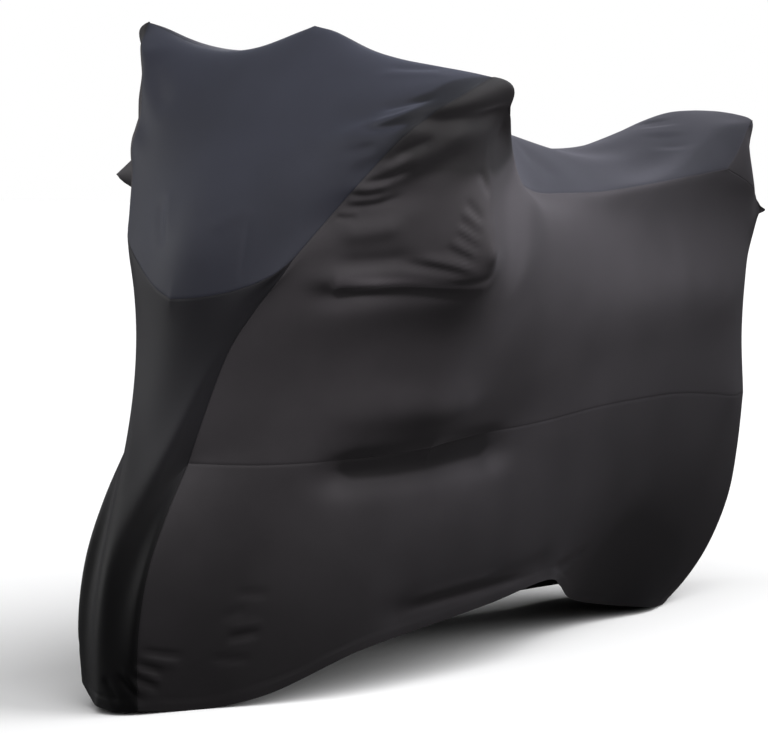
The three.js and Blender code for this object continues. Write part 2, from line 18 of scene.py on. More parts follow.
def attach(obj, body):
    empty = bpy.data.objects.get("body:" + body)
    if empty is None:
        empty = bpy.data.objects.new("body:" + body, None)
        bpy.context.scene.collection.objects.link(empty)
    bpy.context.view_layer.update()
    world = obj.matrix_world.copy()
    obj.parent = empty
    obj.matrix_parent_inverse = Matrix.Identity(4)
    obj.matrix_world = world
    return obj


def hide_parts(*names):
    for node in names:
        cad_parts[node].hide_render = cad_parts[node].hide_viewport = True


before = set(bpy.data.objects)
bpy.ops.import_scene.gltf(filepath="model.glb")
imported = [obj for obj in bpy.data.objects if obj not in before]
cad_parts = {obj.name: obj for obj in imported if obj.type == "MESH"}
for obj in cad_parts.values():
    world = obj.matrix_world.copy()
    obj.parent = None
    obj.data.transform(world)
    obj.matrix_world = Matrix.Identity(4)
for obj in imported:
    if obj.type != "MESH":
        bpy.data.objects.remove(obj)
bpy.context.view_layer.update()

LOG = logging.getLogger("motorcycle_cover")
MM = 0.001
TINY = 1e-12
# The maps on each sheet: its places on the flat cloth, and its painted light and shade, lighter
# where the cloth faces up and darker where it faces down.
WEAVE_MAP = "weave"
PAINTED_LIGHT_MAP = "painted_light"

# The sheet, the gap between two of them at a seam, and the lean.
SHEET = 1.6
SEAM_GAP = 0.3
LEAN = math.radians(9.8)
# An edge's points step into the panel by no more than its gap over this, however sharply it
# turns.
SHARPEST = 0.3
# Faces that meet at more than this angle, as at the rims, keep a sharp edge.
SHARP_ANGLE = math.radians(50)
# Points that agree to a thousandth of a millimetre are one.
POINTS_PER_MM = 1000
# From the point of the floor that the tables start from to the part's own origin.
TO_ORIGIN = (73.94, -155.85, 1.17)

# Cells of cloth along each run of seam, as in the solids.
HALF = 7
LOW = 8
HIGH = 18
CHEEK = 18
SEAT = 20
TAIL = 6
BELT_ROW = 7
BILGE_ROW = 4
SHOULDER_COLUMN = 4
# From this row up, the handlebar's end and the mirror hold the side's ridge firmly.
FIRM_ROW = 10
# The cells behind the mirrors grow towards the tail.
SEAT_GROWTH = 1.3
# How the cloth settles: the rounds on whole cells and on half cells, and how far a point
# moves in each round against a bend and towards its neighbours.
RELAX_ROUNDS = 260
SMOOTH_ROUNDS = 150
RELAX_BEND = 0.22
RELAX_PULL = 0.03
HALF_CELL = 0.5

# How many fine steps each cell is cut into, the close steps beside a seam, in cells, and how
# far the even steps keep from it, in the longest of those.
FINE = {"half": 8, "low": 8, "high": 6, "cheek": 6, "seat": 9}
SEAM_STEPS = (0.035, 0.08, 0.14, 0.21)
SEAM_CLEARANCE = 1.25

# Below one, a large fold fades out further beyond its ends.
END_SOFTNESS = 0.55
# A crease: how many points follow it for each of its spots, how many of its widths the cloth
# that it moves reaches, and the share of its length over which each end fades.
CREASE_POINTS = 12
CREASE_REACH = 3
CREASE_FADE = 0.3


class Side(Enum):
    """A side of the motorcycle, with the sign of its y."""

    LEFT = 1
    RIGHT = -1


@dataclass(frozen=True)
class Spot:
    """A place on the upright cloth. The right side mirrors the left one, but where it has a
    value of its own."""

    x: float
    y: float
    z: float
    right_x: Optional[float] = None
    right_y: Optional[float] = None
    right_z: Optional[float] = None

    def on(self, side: Side) -> np.ndarray:
        """The place on one side.

        Args:
            side: The side of the motorcycle.

        Returns:
            Its x, y and z.
        """
        left = (self.x, self.y, self.z)
        own = (self.right_x, self.right_y, self.right_z) if side is Side.RIGHT else left
        x, y, z = (mirrored if value is None else value for mirrored, value in zip(left, own))
        return np.array([x, y * side.value, z], dtype=float)


@dataclass(frozen=True)
class Tip:
    """A hard end under the cloth that draws it out to a point."""

    side: Side
    end: Spot
    reach: float


@dataclass(frozen=True)
class PaintedLightShadeStripe:
    """A stripe of painted light (share above zero) or of painted shade (share below zero)."""

    side: Side
    start: Spot
    end: Spot
    reach: float
    share: float


@dataclass(frozen=True)
class Fold:
    """A soft trough (depth below zero) or ridge of the cloth through two or more spots."""

    side: Side
    spots: tuple[Spot, ...]
    width: float
    depth: float


def folds(side: Side, rows: Sequence[tuple]) -> list[Fold]:
    """The folds of one side.

    Args:
        side: The side of the motorcycle.
        rows: The width, the depth, and the x, y and z of each spot of every fold.

    Returns:
        The folds.
    """
    return [
        Fold(side, tuple(Spot(*place) for place in places), width, depth)
        for width, depth, *places in rows
    ]


def in_middle(*places: tuple[float, float]) -> list[Spot]:
    """Spots in the middle between the sides, from their x and z."""
    return [Spot(x, 0, z) for x, z in places]


# Points where seams meet, and the points that hold the cloth out.
POINT = {
    "toe": Spot(840, 0, 12),
    "front_hem": Spot(811, 63, 17, right_z=32),
    "shin": Spot(767, 66, 425),
    "chin": Spot(785, 0, 680),
    "cheek": Spot(706, 174, 775, right_y=178),
    "screen_top": Spot(511, 0, 1127),
    "mirror_top": Spot(508, 364, 1098, right_x=510, right_z=1083),
    "tail_top": Spot(-872, 0, 1002),
    "tail_tip": Spot(-1013, 0, 813),
    "tail_edge": Spot(-998, 27, 813),
    "tail_corner": Spot(-632, 140, 915),
    "rear_level": Spot(-905, 98, 448),
    "rear_hem": Spot(-722, 96, 18),
    "heel": Spot(-806, 0, 20),
}
# Each run of seam, hem or ridge is a smooth line through its spots.
TOE_HEM = [Spot(834, 34, 12, right_x=816)]
SIDE_HEM_FRONT = [Spot(702, 110, 18), Spot(618, 165, 45), Spot(475, 232, 118)]
FOOT_HEM = Spot(330, 250, 144)
SIDE_HEM_REAR = [
    Spot(137, 258, 168, right_z=120), Spot(-50, 248, 186, right_z=88),
    Spot(-166, 200, 149, right_z=62), Spot(-286, 151, 97, right_z=40),
    Spot(-452, 124, 58, right_z=16), Spot(-622, 126, 32, right_z=8),
]
HEEL_HEM = [Spot(-795, 58, 18)]
FRONT_LINE = in_middle((862, 140), (862, 250), (838, 335), (798, 435), (780, 570))
NOSE_LINE = in_middle((788, 745), (758, 835), (695, 930), (612, 1035), (550, 1100))
SADDLE_LINE = in_middle(
    (400, 1080), (270, 1025), (130, 993), (0, 971), (-130, 944), (-240, 924), (-340, 913),
    (-430, 914), (-506, 931), (-600, 975), (-690, 988), (-800, 999),
)
# Half way between the middle of the seat and its seam.
SHOULDER_LINE = [
    Spot(400, 190, 1048), Spot(270, 156, 990), Spot(130, 134, 960), Spot(-130, 112, 922),
    Spot(-340, 100, 900, right_z=908), Spot(-430, 99, 903, right_z=910), Spot(-506, 97, 919),
    Spot(-600, 92, 962, right_z=957), Spot(-690, 84, 984),
]
TAIL_LINE_LOW = in_middle((-925, 150), (-958, 300), (-955, 450), (-945, 600), (-962, 740))
TAIL_LINE_HIGH = in_middle((-912, 862), (-868, 925), (-870, 975))
FRONT_SEAM_LOW = [Spot(835, 66, 140), Spot(833, 67, 250), Spot(806, 67, 340)]
FRONT_SEAM_HIGH = [
    Spot(755, 80, 520, right_y=76), Spot(744, 103, 620, right_y=100), Spot(728, 136, 695),
    Spot(716, 161, 742, right_y=165),
]
CHIN_SEAM = [Spot(776, 42, 690), Spot(751, 100, 712), Spot(727, 156, 748)]
MIRROR_SEAM = [
    Spot(673, 211, 850), Spot(655, 250, 915, right_y=233), Spot(634, 287, 976, right_y=256),
    Spot(600, 322, 1030, right_y=290), Spot(562, 350, 1066, right_y=330, right_z=1054),
]
# The brow dips further between the screen and the right mirror than on the left.
BROW = [
    Spot(512, 45, 1123, right_z=1104), Spot(516, 110, 1107, right_z=1072),
    Spot(516, 180, 1100, right_z=1060), Spot(510, 260, 1099, right_z=1061),
    Spot(506, 325, 1099, right_z=1073),
]
SEAT_SEAM = [
    Spot(480, 354, 1072), Spot(444, 335, 1030), Spot(390, 310, 979), Spot(335, 285, 947),
    Spot(272, 257, 924), Spot(168, 222, 902), Spot(39, 204, 886), Spot(-92, 194, 882),
    Spot(-281, 180, 892, right_z=876), Spot(-470, 160, 905, right_z=886),
]
TAIL_SEAM = [Spot(-862, 38, 1002), Spot(-812, 78, 1000), Spot(-752, 100, 974), Spot(-694, 120, 942)]
LEVEL_SEAM_FRONT = [
    Spot(690, 128, 430), Spot(596, 179, 438, right_y=186), Spot(470, 214, 444, right_y=224),
]
FOOT_LEVEL = Spot(340, 233, 454, right_y=240)
LEVEL_SEAM_REAR = [
    Spot(178, 235, 471), Spot(24, 243, 484), Spot(-132, 244, 498), Spot(-297, 230, 500),
    Spot(-470, 204, 494), Spot(-640, 174, 476), Spot(-800, 140, 455),
]
REAR_SEAM_LOW = [Spot(-795, 98, 66), Spot(-860, 100, 134), Spot(-908, 100, 234), Spot(-914, 99, 335)]
REAR_SEAM_HIGH = [Spot(-884, 84, 570), Spot(-892, 68, 680), Spot(-928, 44, 765)]
TAIL_RIDGE = [Spot(-915, 58, 844), Spot(-785, 102, 882)]
# The line that the handlebar's end and the mirror hold out, up and over the mirror.
RIDGE = [
    Spot(354, 250, 492), Spot(374, 266, 538), Spot(398, 281, 612), Spot(415, 297, 680),
    Spot(432, 330, 732, right_x=450, right_y=325),
    Spot(450, 379, 780, right_x=505, right_y=358, right_z=812), Spot(462, 360, 930, right_y=351),
    Spot(448, 351, 1014, right_x=484, right_y=362, right_z=1005),
    Spot(470, 380, 1062, right_x=498, right_y=388, right_z=1042),
    Spot(476, 387, 1081, right_x=500, right_y=391, right_z=1063),
    Spot(487, 381, 1093, right_x=504, right_y=379, right_z=1077),
]
BELT_FRONT = [Spot(640, 178, 616), Spot(530, 240, 664)]
BELT_REAR = [
    Spot(280, 296, 688), Spot(100, 272, 672), Spot(-120, 258, 676), Spot(-350, 234, 682, right_y=240),
    Spot(-560, 196, 680), Spot(-740, 146, 672),
]
BILGE_FRONT = [Spot(690, 128, 240), Spot(530, 212, 266)]
FOOT_BILGE = Spot(340, 252, 290)
BILGE_REAR = [
    Spot(150, 258, 308), Spot(-20, 250, 316), Spot(-190, 226, 305), Spot(-330, 202, 292),
    Spot(-500, 180, 280), Spot(-700, 152, 262),
]
# Hard ends that poke into the cloth from inside draw it out to a tip.
TIPS = [Tip(Side.RIGHT, Spot(508, 398, 812), reach=62)]
# Painted shade darkens the cloth at the mirrors, under the fold below the left mirror, in the
# hollow above the level seam and low at the rear. Painted light lightens that fold and the cloth
# behind the left mirror.
PAINTED_LIGHT_SHADE_STRIPES = [
    PaintedLightShadeStripe(Side.LEFT, Spot(470, 372, 1072), Spot(540, 346, 1056), reach=36, share=-2.6),
    PaintedLightShadeStripe(Side.LEFT, Spot(462, 362, 1010), Spot(570, 330, 1020), reach=60, share=-1.8),
    PaintedLightShadeStripe(Side.LEFT, Spot(600, 296, 1020), Spot(670, 232, 950), reach=44, share=-0.4),
    PaintedLightShadeStripe(Side.LEFT, Spot(640, 220, 746), Spot(424, 352, 765), reach=11, share=1.1),
    PaintedLightShadeStripe(Side.LEFT, Spot(628, 218, 728), Spot(430, 345, 744), reach=8, share=-1.2),
    PaintedLightShadeStripe(Side.LEFT, Spot(340, 325, 900), Spot(310, 318, 770), reach=70, share=0.8),
    PaintedLightShadeStripe(Side.LEFT, Spot(500, 205, 424), Spot(200, 240, 440), reach=30, share=-0.9),
    PaintedLightShadeStripe(Side.LEFT, Spot(-420, 154, 150), Spot(-600, 130, 90), reach=90, share=-1.2),
    PaintedLightShadeStripe(Side.RIGHT, Spot(470, 384, 1060), Spot(540, 360, 1050), reach=36, share=-2.2),
]
# The straight large folds of the stretched cloth.
LARGE_FOLDS = folds(Side.LEFT, [
    (26, -7, (579, 326, 1057), (632, 209, 1011)),
    (24, 6, (585, 332, 1047), (648, 213, 986)),
    (24, -7, (584, 329, 992), (660, 250, 925)),
    (24, 5, (560, 345, 985), (640, 262, 905)),
    (24, -7, (550, 345, 962), (662, 239, 880)),
    (24, -5, (594, 290, 892), (667, 223, 844)),
    (18, -14, (592, 326, 1024), (484, 372, 1036)),
    (22, 7, (642, 213, 748), (449, 376, 770)),
    (24, -8, (623, 221, 728), (434, 367, 742)),
    (64, -10, (100, 222, 880), (220, 280, 740)),
    (30, -14, (530, 200, 416), (170, 242, 436)),
    (42, 9, (520, 232, 520), (330, 266, 528)),
    (26, -6, (382, 246, 181), (-10, 249, 215)),
    (44, -15, (-938, 46, 862), (-838, 72, 948)),
]) + folds(Side.RIGHT, [
    (44, -12, (-938, 46, 862), (-838, 72, 948)),
    (38, -9, (-475, 128, 916), (-590, 128, 938)),
    (32, -7, (545, 345, 1030), (600, 285, 960)),
    (28, -7, (590, 300, 990), (655, 226, 930)),
    (28, 6, (570, 318, 950), (655, 226, 890)),
    (30, -7, (640, 213, 752), (500, 352, 780)),
    (44, -8, (560, 196, 430), (100, 250, 462)),
    (62, -9, (90, 231, 885), (270, 300, 720)),
    (50, -10, (-165, 219, 174), (-240, 198, 215)),
])
# Finer creases. Those of the right side, which doesn't show, are plainer.
LEFT_CREASES = folds(Side.LEFT, [
    # The nose beside the left mirror: long pulls towards it, and short ones below.
    (7, -1.6, (556, 182, 1085), (539, 245, 1092), (514, 288, 1098)),
    (9, 1.8, (573, 174, 1072), (557, 242, 1082), (531, 319, 1092)),
    (8, -4.6, (613, 219, 1021), (597, 268, 1040), (575, 322, 1058)),
    (8, 4.4, (639, 229, 997), (620, 279, 1021), (586, 324, 1046)),
    (9, -4.6, (646, 218, 987), (629, 268, 1004), (603, 310, 1022)),
    (9, -2.6, (672, 205, 948), (655, 232, 960), (632, 262, 972)),
    # The cheek under it, pulled from the seam towards the mirror.
    (6, -3.0, (630, 280, 958), (605, 305, 976), (578, 328, 993)),
    (8, 2.0, (645, 262, 930), (612, 296, 952), (584, 318, 972)),
    (7, -4.0, (655, 240, 905), (625, 277, 921), (590, 310, 946)),
    (7, 2.2, (660, 232, 897), (640, 252, 903), (612, 278, 914)),
    (5, -2.4, (660, 226, 887), (641, 248, 891), (618, 270, 899)),
    (6, 1.8, (660, 224, 878), (636, 250, 884), (604, 277, 895)),
    (5, -2.4, (660, 222, 868), (624, 257, 878), (585, 290, 896)),
    (5, 1.6, (667, 214, 858), (651, 227, 858), (635, 243, 862)),
    (4, -1.8, (667, 212, 850), (653, 224, 851), (638, 239, 855)),
    (17, 3.2, (668, 210, 828), (627, 247, 832), (572, 292, 850)),
    (15, -3.2, (662, 208, 772), (599, 252, 784), (536, 300, 800)),
    (8, 6.4, (646, 213, 741), (542, 286, 750), (446, 372, 760)),
    (8, -6.6, (632, 214, 722), (529, 284, 729), (438, 350, 738)),
    # Fans beside the edge that the handlebar's end and the mirror hold out.
    (5, -3.0, (492, 352, 955), (479, 357, 931), (466, 362, 905)),
    (5, 2.2, (486, 355, 1000), (478, 357, 962), (468, 361, 925)),
    (6, -3.0, (506, 342, 900), (489, 353, 882), (472, 364, 866)),
    (6, -3.0, (510, 336, 870), (488, 352, 854), (470, 366, 840)),
    (5, 2.0, (509, 338, 885), (489, 352, 868), (472, 364, 853)),
    (6, -3.2, (509, 332, 846), (487, 350, 832), (470, 368, 820)),
    (5, 2.0, (510, 332, 858), (488, 351, 843), (471, 366, 831)),
    (6, -3.0, (516, 318, 822), (491, 341, 809), (474, 360, 801)),
    (5, 2.0, (512, 328, 832), (489, 346, 820), (472, 366, 811)),
    (7, 3.0, (542, 292, 800), (496, 334, 792), (467, 370, 785)),
    (7, -3.0, (570, 272, 786), (516, 314, 781), (470, 364, 778)),
    # The nose and the front.
    (5, -2.2, (732, 99, 841), (741, 105, 797), (748, 109, 720)),
    (7, 1.0, (739, 108, 846), (748, 113, 800), (752, 116, 728)),
    (14, 1.8, (764, 38, 798), (747, 67, 821), (726, 99, 850)),
    # The level seam and the hollow above it.
    (10, -2.2, (590, 176, 438), (463, 217, 446), (330, 233, 452)),
    (7, -2.4, (470, 216, 443), (426, 224, 440), (380, 229, 437)),
    (15, -4.0, (360, 232, 455), (238, 237, 462), (120, 243, 474)),
    # The lower side near the front wheel, and the gathers above its hem.
    (6, -1.8, (690, 128, 216), (657, 146, 217), (628, 161, 217)),
    (7, -1.5, (705, 120, 174), (684, 130, 183), (662, 142, 191)),
    (6, -3.2, (694, 124, 140), (663, 140, 147), (634, 157, 154)),
    (7, 1.6, (694, 124, 154), (663, 142, 161), (630, 158, 168)),
    (5, -3.0, (835, 66, 124), (794, 80, 115), (745, 97, 108)),
    (6, 2.0, (826, 68, 112), (790, 80, 103), (752, 94, 97)),
    (6, -2.0, (715, 111, 106), (680, 129, 105), (640, 152, 106)),
    (5, -3.2, (840, 62, 102), (806, 74, 91), (775, 84, 76)),
    (5, 2.2, (838, 62, 90), (808, 72, 80), (780, 80, 68)),
    (5, -3.4, (838, 58, 80), (806, 71, 65), (778, 81, 50)),
    (6, -3.0, (848, 34, 80), (831, 53, 59), (798, 70, 26)),
    (5, 2.2, (846, 40, 92), (834, 56, 72), (808, 68, 38)),
    (6, -2.4, (848, 12, 70), (842, 28, 46), (830, 42, 22)),
    # The pull along the hem, from the front wheel to the hollow before the rear one.
    (8, -4.0, (400, 239, 176), (304, 247, 186), (157, 254, 196), (-10, 252, 204)),
    (9, 2.2, (390, 242, 198), (260, 250, 212), (110, 256, 222)),
    (9, -3.0, (-60, 243, 204), (-150, 224, 200), (-250, 206, 214)),
    # The seat: soft hollows where it is sat on and before the tail's hump.
    (34, -3.0, (60, 120, 952), (10, 152, 924), (-4, 186, 900)),
    (34, -4.0, (-600, 0, 968), (-560, 45, 950), (-540, 80, 934)),
])
RIGHT_CREASES = folds(Side.RIGHT, [
    (16, -4.0, (733, 89, 838), (755, 68, 794), (774, 36, 750)),
    (12, 2.4, (728, 74, 846), (752, 50, 800), (770, 22, 762)),
    (26, -6.0, (590, 291, 1042), (628, 228, 1000), (665, 168, 942)),
    (34, -3.0, (-660, 70, 974), (-620, 20, 972)),
    (9, -3.0, (655, 240, 905), (625, 270, 921), (590, 296, 946)),
    (8, -2.4, (660, 222, 868), (624, 252, 878), (585, 284, 896)),
    (10, -3.0, (668, 206, 812), (610, 262, 812), (545, 320, 812)),
    (10, -3.0, (660, 204, 770), (600, 252, 784), (540, 306, 798)),
    (8, -2.6, (542, 292, 880), (520, 330, 852), (512, 356, 832)),
    (9, -3.0, (470, 300, 850), (490, 330, 830), (502, 352, 816)),
    (10, -3.0, (380, 240, 176), (250, 250, 172), (100, 252, 158)),
    (6, -2.6, (835, 66, 124), (794, 80, 112), (745, 97, 104)),
    (6, -2.6, (840, 62, 104), (806, 74, 88), (775, 84, 70)),
])


class Run:
    """A smooth line through spots, cut into cells. Places along it are counted in cells."""

    SAMPLES = 600

    def __init__(self, cells: int, spots: Sequence[Union[Spot, np.ndarray]], side: Side,
                 growth: float = 1.0) -> None:
        """Lays the line.

        Args:
            cells: How many cells the run is cut into.
            spots: The spots that it goes through, or points already on a side.
            side: The side of the motorcycle.
            growth: Above one, the cells grow along the run.
        """
        self.cells = cells
        self.growth = growth
        self.rows = np.array([spot.on(side) if isinstance(spot, Spot) else spot for spot in spots])
        self.lengths = self._lengths()

    def _curve(self, places: np.ndarray) -> np.ndarray:
        """Points of a smooth curve through the spots, whose bends follow their distances.

        Args:
            places: Places from 0 to 1, as shares of the spans between the spots.

        Returns:
            One point for each place.
        """
        rows = self.rows
        spans = len(rows) - 1
        padded = np.vstack([2 * rows[0] - rows[1], rows, 2 * rows[-1] - rows[-2]])
        scaled = places * spans
        index = np.minimum(scaled.astype(int), spans - 1)
        share = (scaled - index)[:, None]
        p0, p1, p2, p3 = (padded[index + k] for k in range(4))
        legs = ((p0, p1), (p1, p2), (p2, p3))
        gap = [np.sqrt(np.linalg.norm(b - a, axis=1))[:, None] for a, b in legs]
        tangent1 = ((p1 - p0) / gap[0] - (p2 - p0) / (gap[0] + gap[1]) + (p2 - p1) / gap[1]) * gap[1]
        tangent2 = ((p2 - p1) / gap[1] - (p3 - p1) / (gap[1] + gap[2]) + (p3 - p2) / gap[2]) * gap[1]
        third = 2 * p1 - 2 * p2 + tangent1 + tangent2
        second = -3 * p1 + 3 * p2 - 2 * tangent1 - tangent2
        return ((third * share + second) * share + tangent1) * share + p1

    def _lengths(self) -> np.ndarray:
        """Measures the curve.

        Returns:
            Its length up to each sample.
        """
        points = self._curve(np.linspace(0, 1, self.SAMPLES + 1))
        steps = np.linalg.norm(np.diff(points, axis=0), axis=1)
        return np.concatenate([[0.0], np.cumsum(steps)])

    def points(self, places: np.ndarray) -> np.ndarray:
        """Points of the run.

        Args:
            places: Places along it, in cells.

        Returns:
            One point for each place.
        """
        share = np.clip(np.asarray(places, dtype=float) / self.cells, 0, 1) ** self.growth
        samples = np.linspace(0, 1, self.SAMPLES + 1)
        return self._curve(np.interp(share * self.lengths[-1], self.lengths, samples))


class JoinedRun:
    """Two runs end to end."""

    def __init__(self, first: "AnyRun", second: "AnyRun") -> None:
        """Joins the runs.

        Args:
            first: The run that comes first.
            second: The run that starts where it ends.
        """
        self.first = first
        self.second = second
        self.cells = first.cells + second.cells

    def points(self, places: np.ndarray) -> np.ndarray:
        """Points of both runs.

        Args:
            places: Places in cells, from the start of the first run.

        Returns:
            One point for each place.
        """
        places = np.asarray(places, dtype=float)
        ahead = places <= self.first.cells
        return np.vstack([
            self.first.points(places[ahead]), self.second.points(places[~ahead] - self.first.cells),
        ])


class TurnedRun:
    """A run taken from its end to its start."""

    def __init__(self, run: "AnyRun") -> None:
        """Turns the run round."""
        self.run = run
        self.cells = run.cells

    def points(self, places: np.ndarray) -> np.ndarray:
        """Points at places counted in cells from the end of the run."""
        return self.run.points((self.cells - np.asarray(places, dtype=float))[::-1])[::-1]


AnyRun = Union[Run, JoinedRun, TurnedRun]


class SideSeams:
    """The runs of seam, hem and ridge on one side of the motorcycle."""

    def __init__(self, side: Side) -> None:
        """Lays every run of the side.

        Args:
            side: The side of the motorcycle.
        """
        self.side = side
        self.toe_hem = self._run(HALF, "toe", TOE_HEM, "front_hem")
        self.heel_hem = self._run(HALF, "heel", HEEL_HEM, "rear_hem")
        self.hem = JoinedRun(
            self._run(CHEEK, "front_hem", SIDE_HEM_FRONT, FOOT_HEM),
            self._run(SEAT, FOOT_HEM, SIDE_HEM_REAR, "rear_hem", SEAT_GROWTH),
        )
        self.front_line = self._run(LOW + HIGH, "toe", FRONT_LINE, "chin")
        self.nose_line = self._run(CHEEK, "chin", NOSE_LINE, "screen_top")
        self.saddle_line = self._run(SEAT, "screen_top", SADDLE_LINE, "tail_top", SEAT_GROWTH)
        self.tail_line = JoinedRun(
            self._run(LOW + HIGH - TAIL, "heel", TAIL_LINE_LOW, "tail_tip"),
            self._run(TAIL, "tail_tip", TAIL_LINE_HIGH, "tail_top"),
        )
        self.front_low = self._run(LOW, "front_hem", FRONT_SEAM_LOW, "shin")
        self.front_high = self._run(HIGH, "shin", FRONT_SEAM_HIGH, "cheek")
        self.chin_seam = self._run(HALF, "chin", CHIN_SEAM, "cheek")
        self.mirror_seam = self._run(CHEEK, "cheek", MIRROR_SEAM, "mirror_top")
        self.brow = self._run(HALF, "screen_top", BROW, "mirror_top")
        self.seat_seam = self._run(SEAT, "mirror_top", SEAT_SEAM, "tail_corner", SEAT_GROWTH)
        self.tail_seam = self._run(HALF, "tail_top", TAIL_SEAM, "tail_corner")
        self.tip_line = self._run(HALF, "tail_tip", [], "tail_edge")
        self.level = JoinedRun(
            self._run(CHEEK, "shin", LEVEL_SEAM_FRONT, FOOT_LEVEL),
            self._run(SEAT, FOOT_LEVEL, LEVEL_SEAM_REAR, "rear_level", SEAT_GROWTH),
        )
        self.rear_low = self._run(LOW, "rear_hem", REAR_SEAM_LOW, "rear_level")
        self.rear_high = JoinedRun(
            self._run(HIGH - TAIL, "rear_level", REAR_SEAM_HIGH, "tail_edge"),
            self._run(TAIL, "tail_edge", TAIL_RIDGE, "tail_corner"),
        )
        self.ridge = self._run(HIGH, FOOT_LEVEL, RIDGE, "mirror_top")
        self.belt = self._crossing(
            self.front_high, BELT_ROW, BELT_FRONT, self.ridge, BELT_REAR, self.rear_high,
        )
        self.bilge = self._crossing(
            self.front_low, BILGE_ROW, BILGE_FRONT, FOOT_BILGE, BILGE_REAR, self.rear_low,
        )
        self.shoulder = Run(
            SEAT,
            [self._place(self.brow, SHOULDER_COLUMN), *SHOULDER_LINE,
             self._place(self.tail_seam, SHOULDER_COLUMN)],
            side, SEAT_GROWTH,
        )

    def _run(self, cells: int, start: Union[str, Spot], between: Sequence[Spot],
             end: Union[str, Spot], growth: float = 1.0) -> Run:
        """A run from one named point or spot to another.

        Args:
            cells: How many cells it has.
            start: Where it starts.
            between: The spots on its way.
            end: Where it ends.
            growth: Above one, its cells grow.

        Returns:
            The run.
        """
        ends = [POINT[spot] if isinstance(spot, str) else spot for spot in (start, end)]
        return Run(cells, [ends[0], *between, ends[1]], self.side, growth)

    @staticmethod
    def _place(run: AnyRun, cell: int) -> np.ndarray:
        """The point of a run at one cell."""
        return run.points(np.array([cell]))[0]

    def _crossing(self, front: AnyRun, row: int, ahead: Sequence[Spot],
                  middle: Union[Run, Spot], behind: Sequence[Spot], rear: AnyRun) -> JoinedRun:
        """A line along the side, between two rows of spots, at one row of its grid.

        Args:
            front: The seam that it starts from.
            row: The row of the grid.
            ahead: The spots in front of its middle.
            middle: The run or the spot that it crosses in the middle.
            behind: The spots behind its middle.
            rear: The seam that it ends at.

        Returns:
            The joined line.
        """
        cross = middle if isinstance(middle, Spot) else self._place(middle, row)
        return JoinedRun(
            Run(CHEEK, [self._place(front, row), *ahead, cross], self.side),
            Run(SEAT, [cross, *behind, self._place(rear, row)], self.side, SEAT_GROWTH),
        )


@dataclass
class PanelPlan:
    """A panel's four edges and the held lines inside it, by their row or column of cells."""

    rows: dict[int, AnyRun]
    columns: dict[int, AnyRun]
    row_steps: np.ndarray
    column_steps: np.ndarray
    firm_columns: tuple[int, ...] = ()

    @property
    def height(self) -> int:
        """Cells from the lowest row to the highest."""
        return max(self.rows)

    @property
    def width(self) -> int:
        """Cells from the first column to the last."""
        return max(self.columns)

    def coarse(self) -> np.ndarray:
        """Fills the cloth between the held lines.

        Returns:
            The grid of points at whole cells.
        """
        grid = np.zeros((self.height + 1, self.width + 1, 3))
        for column, run in self.columns.items():
            grid[:, column] = run.points(np.arange(self.height + 1))
        for row, run in self.rows.items():
            grid[row] = run.points(np.arange(self.width + 1))
        rows = sorted(self.rows)
        columns = sorted(self.columns)
        for low, high in zip(rows, rows[1:]):
            for near, far in zip(columns, columns[1:]):
                self._fill(grid[low:high + 1, near:far + 1])
        return grid

    @staticmethod
    def _fill(block: np.ndarray) -> None:
        """Fills a block of the grid between its four edges.

        Args:
            block: The block, which is changed.
        """
        v = np.linspace(0, 1, block.shape[0])[1:-1, None, None]
        u = np.linspace(0, 1, block.shape[1])[None, 1:-1, None]
        low, high = block[:1, 1:-1], block[-1:, 1:-1]
        near, far = block[1:-1, :1], block[1:-1, -1:]
        block[1:-1, 1:-1] = (
            (1 - v) * low + v * high + (1 - u) * near + u * far
            - (1 - v) * (1 - u) * block[0, 0] - (1 - v) * u * block[0, -1]
            - v * (1 - u) * block[-1, 0] - v * u * block[-1, -1]
        )

    def finer(self, grid: np.ndarray, step: float, rows: np.ndarray,
              columns: np.ndarray) -> np.ndarray:
        """The grid's smooth surface at other places, with its edges on the exact runs.

        Args:
            grid: The grid of points.
            step: The cells from one of its points to the next.
            rows: The wanted rows, in cells.
            columns: The wanted columns, in cells.

        Returns:
            The finer grid.
        """
        over_rows = spline_weights(grid.shape[0], rows / step)
        over_columns = spline_weights(grid.shape[1], columns / step)
        fine = np.einsum("ri,ijk,cj->rck", over_rows, grid, over_columns)
        for row in (0, self.height):
            self._draw_to(fine, self.rows[row].points(columns), np.abs(rows - row))
        for column in (0, self.width):
            edge = self.columns[column].points(rows)
            self._draw_to(fine.transpose(1, 0, 2), edge, np.abs(columns - column))
        return fine

    @staticmethod
    def _draw_to(fine: np.ndarray, edge: np.ndarray, away: np.ndarray) -> None:
        """Moves one edge row onto its run, and the cloth within a cell of it partly.

        Args:
            fine: The grid, which is changed.
            edge: The points of the run.
            away: How many cells each row is from the edge.
        """
        at = int(np.argmin(away))
        fine += eased(1 - away)[:, None, None] * (edge - fine[at])
        fine[at] = edge


def eased(share: np.ndarray) -> np.ndarray:
    """The share, held between 0 and 1, with a soft start and a soft end."""
    share = np.clip(share, 0, 1)
    return share * share * (3 - 2 * share)


def spline_weights(count: int, places: np.ndarray) -> np.ndarray:
    """How much each of evenly spaced values adds to a smooth curve through them.

    Args:
        count: How many values there are.
        places: Where the curve is wanted, counted in values.

    Returns:
        One row of weights for each place.
    """
    system = np.eye(count)
    bends = np.zeros((count, count))
    for i in range(1, count - 1):
        system[i, i - 1:i + 2] = (1, 4, 1)
        bends[i, i - 1:i + 2] = (6, -12, 6)
    system[0, 1] = -1
    system[-1, -2] = -1
    curvature = np.linalg.solve(system, bends)
    identity = np.eye(count)
    index = np.clip(np.floor(places).astype(int), 0, count - 2)
    share = (places - index)[:, None]
    straight = (1 - share) * identity[index] + share * identity[index + 1]
    curved = (2 - share) * curvature[index] + (1 + share) * curvature[index + 1]
    return straight - share * (1 - share) / 6 * curved


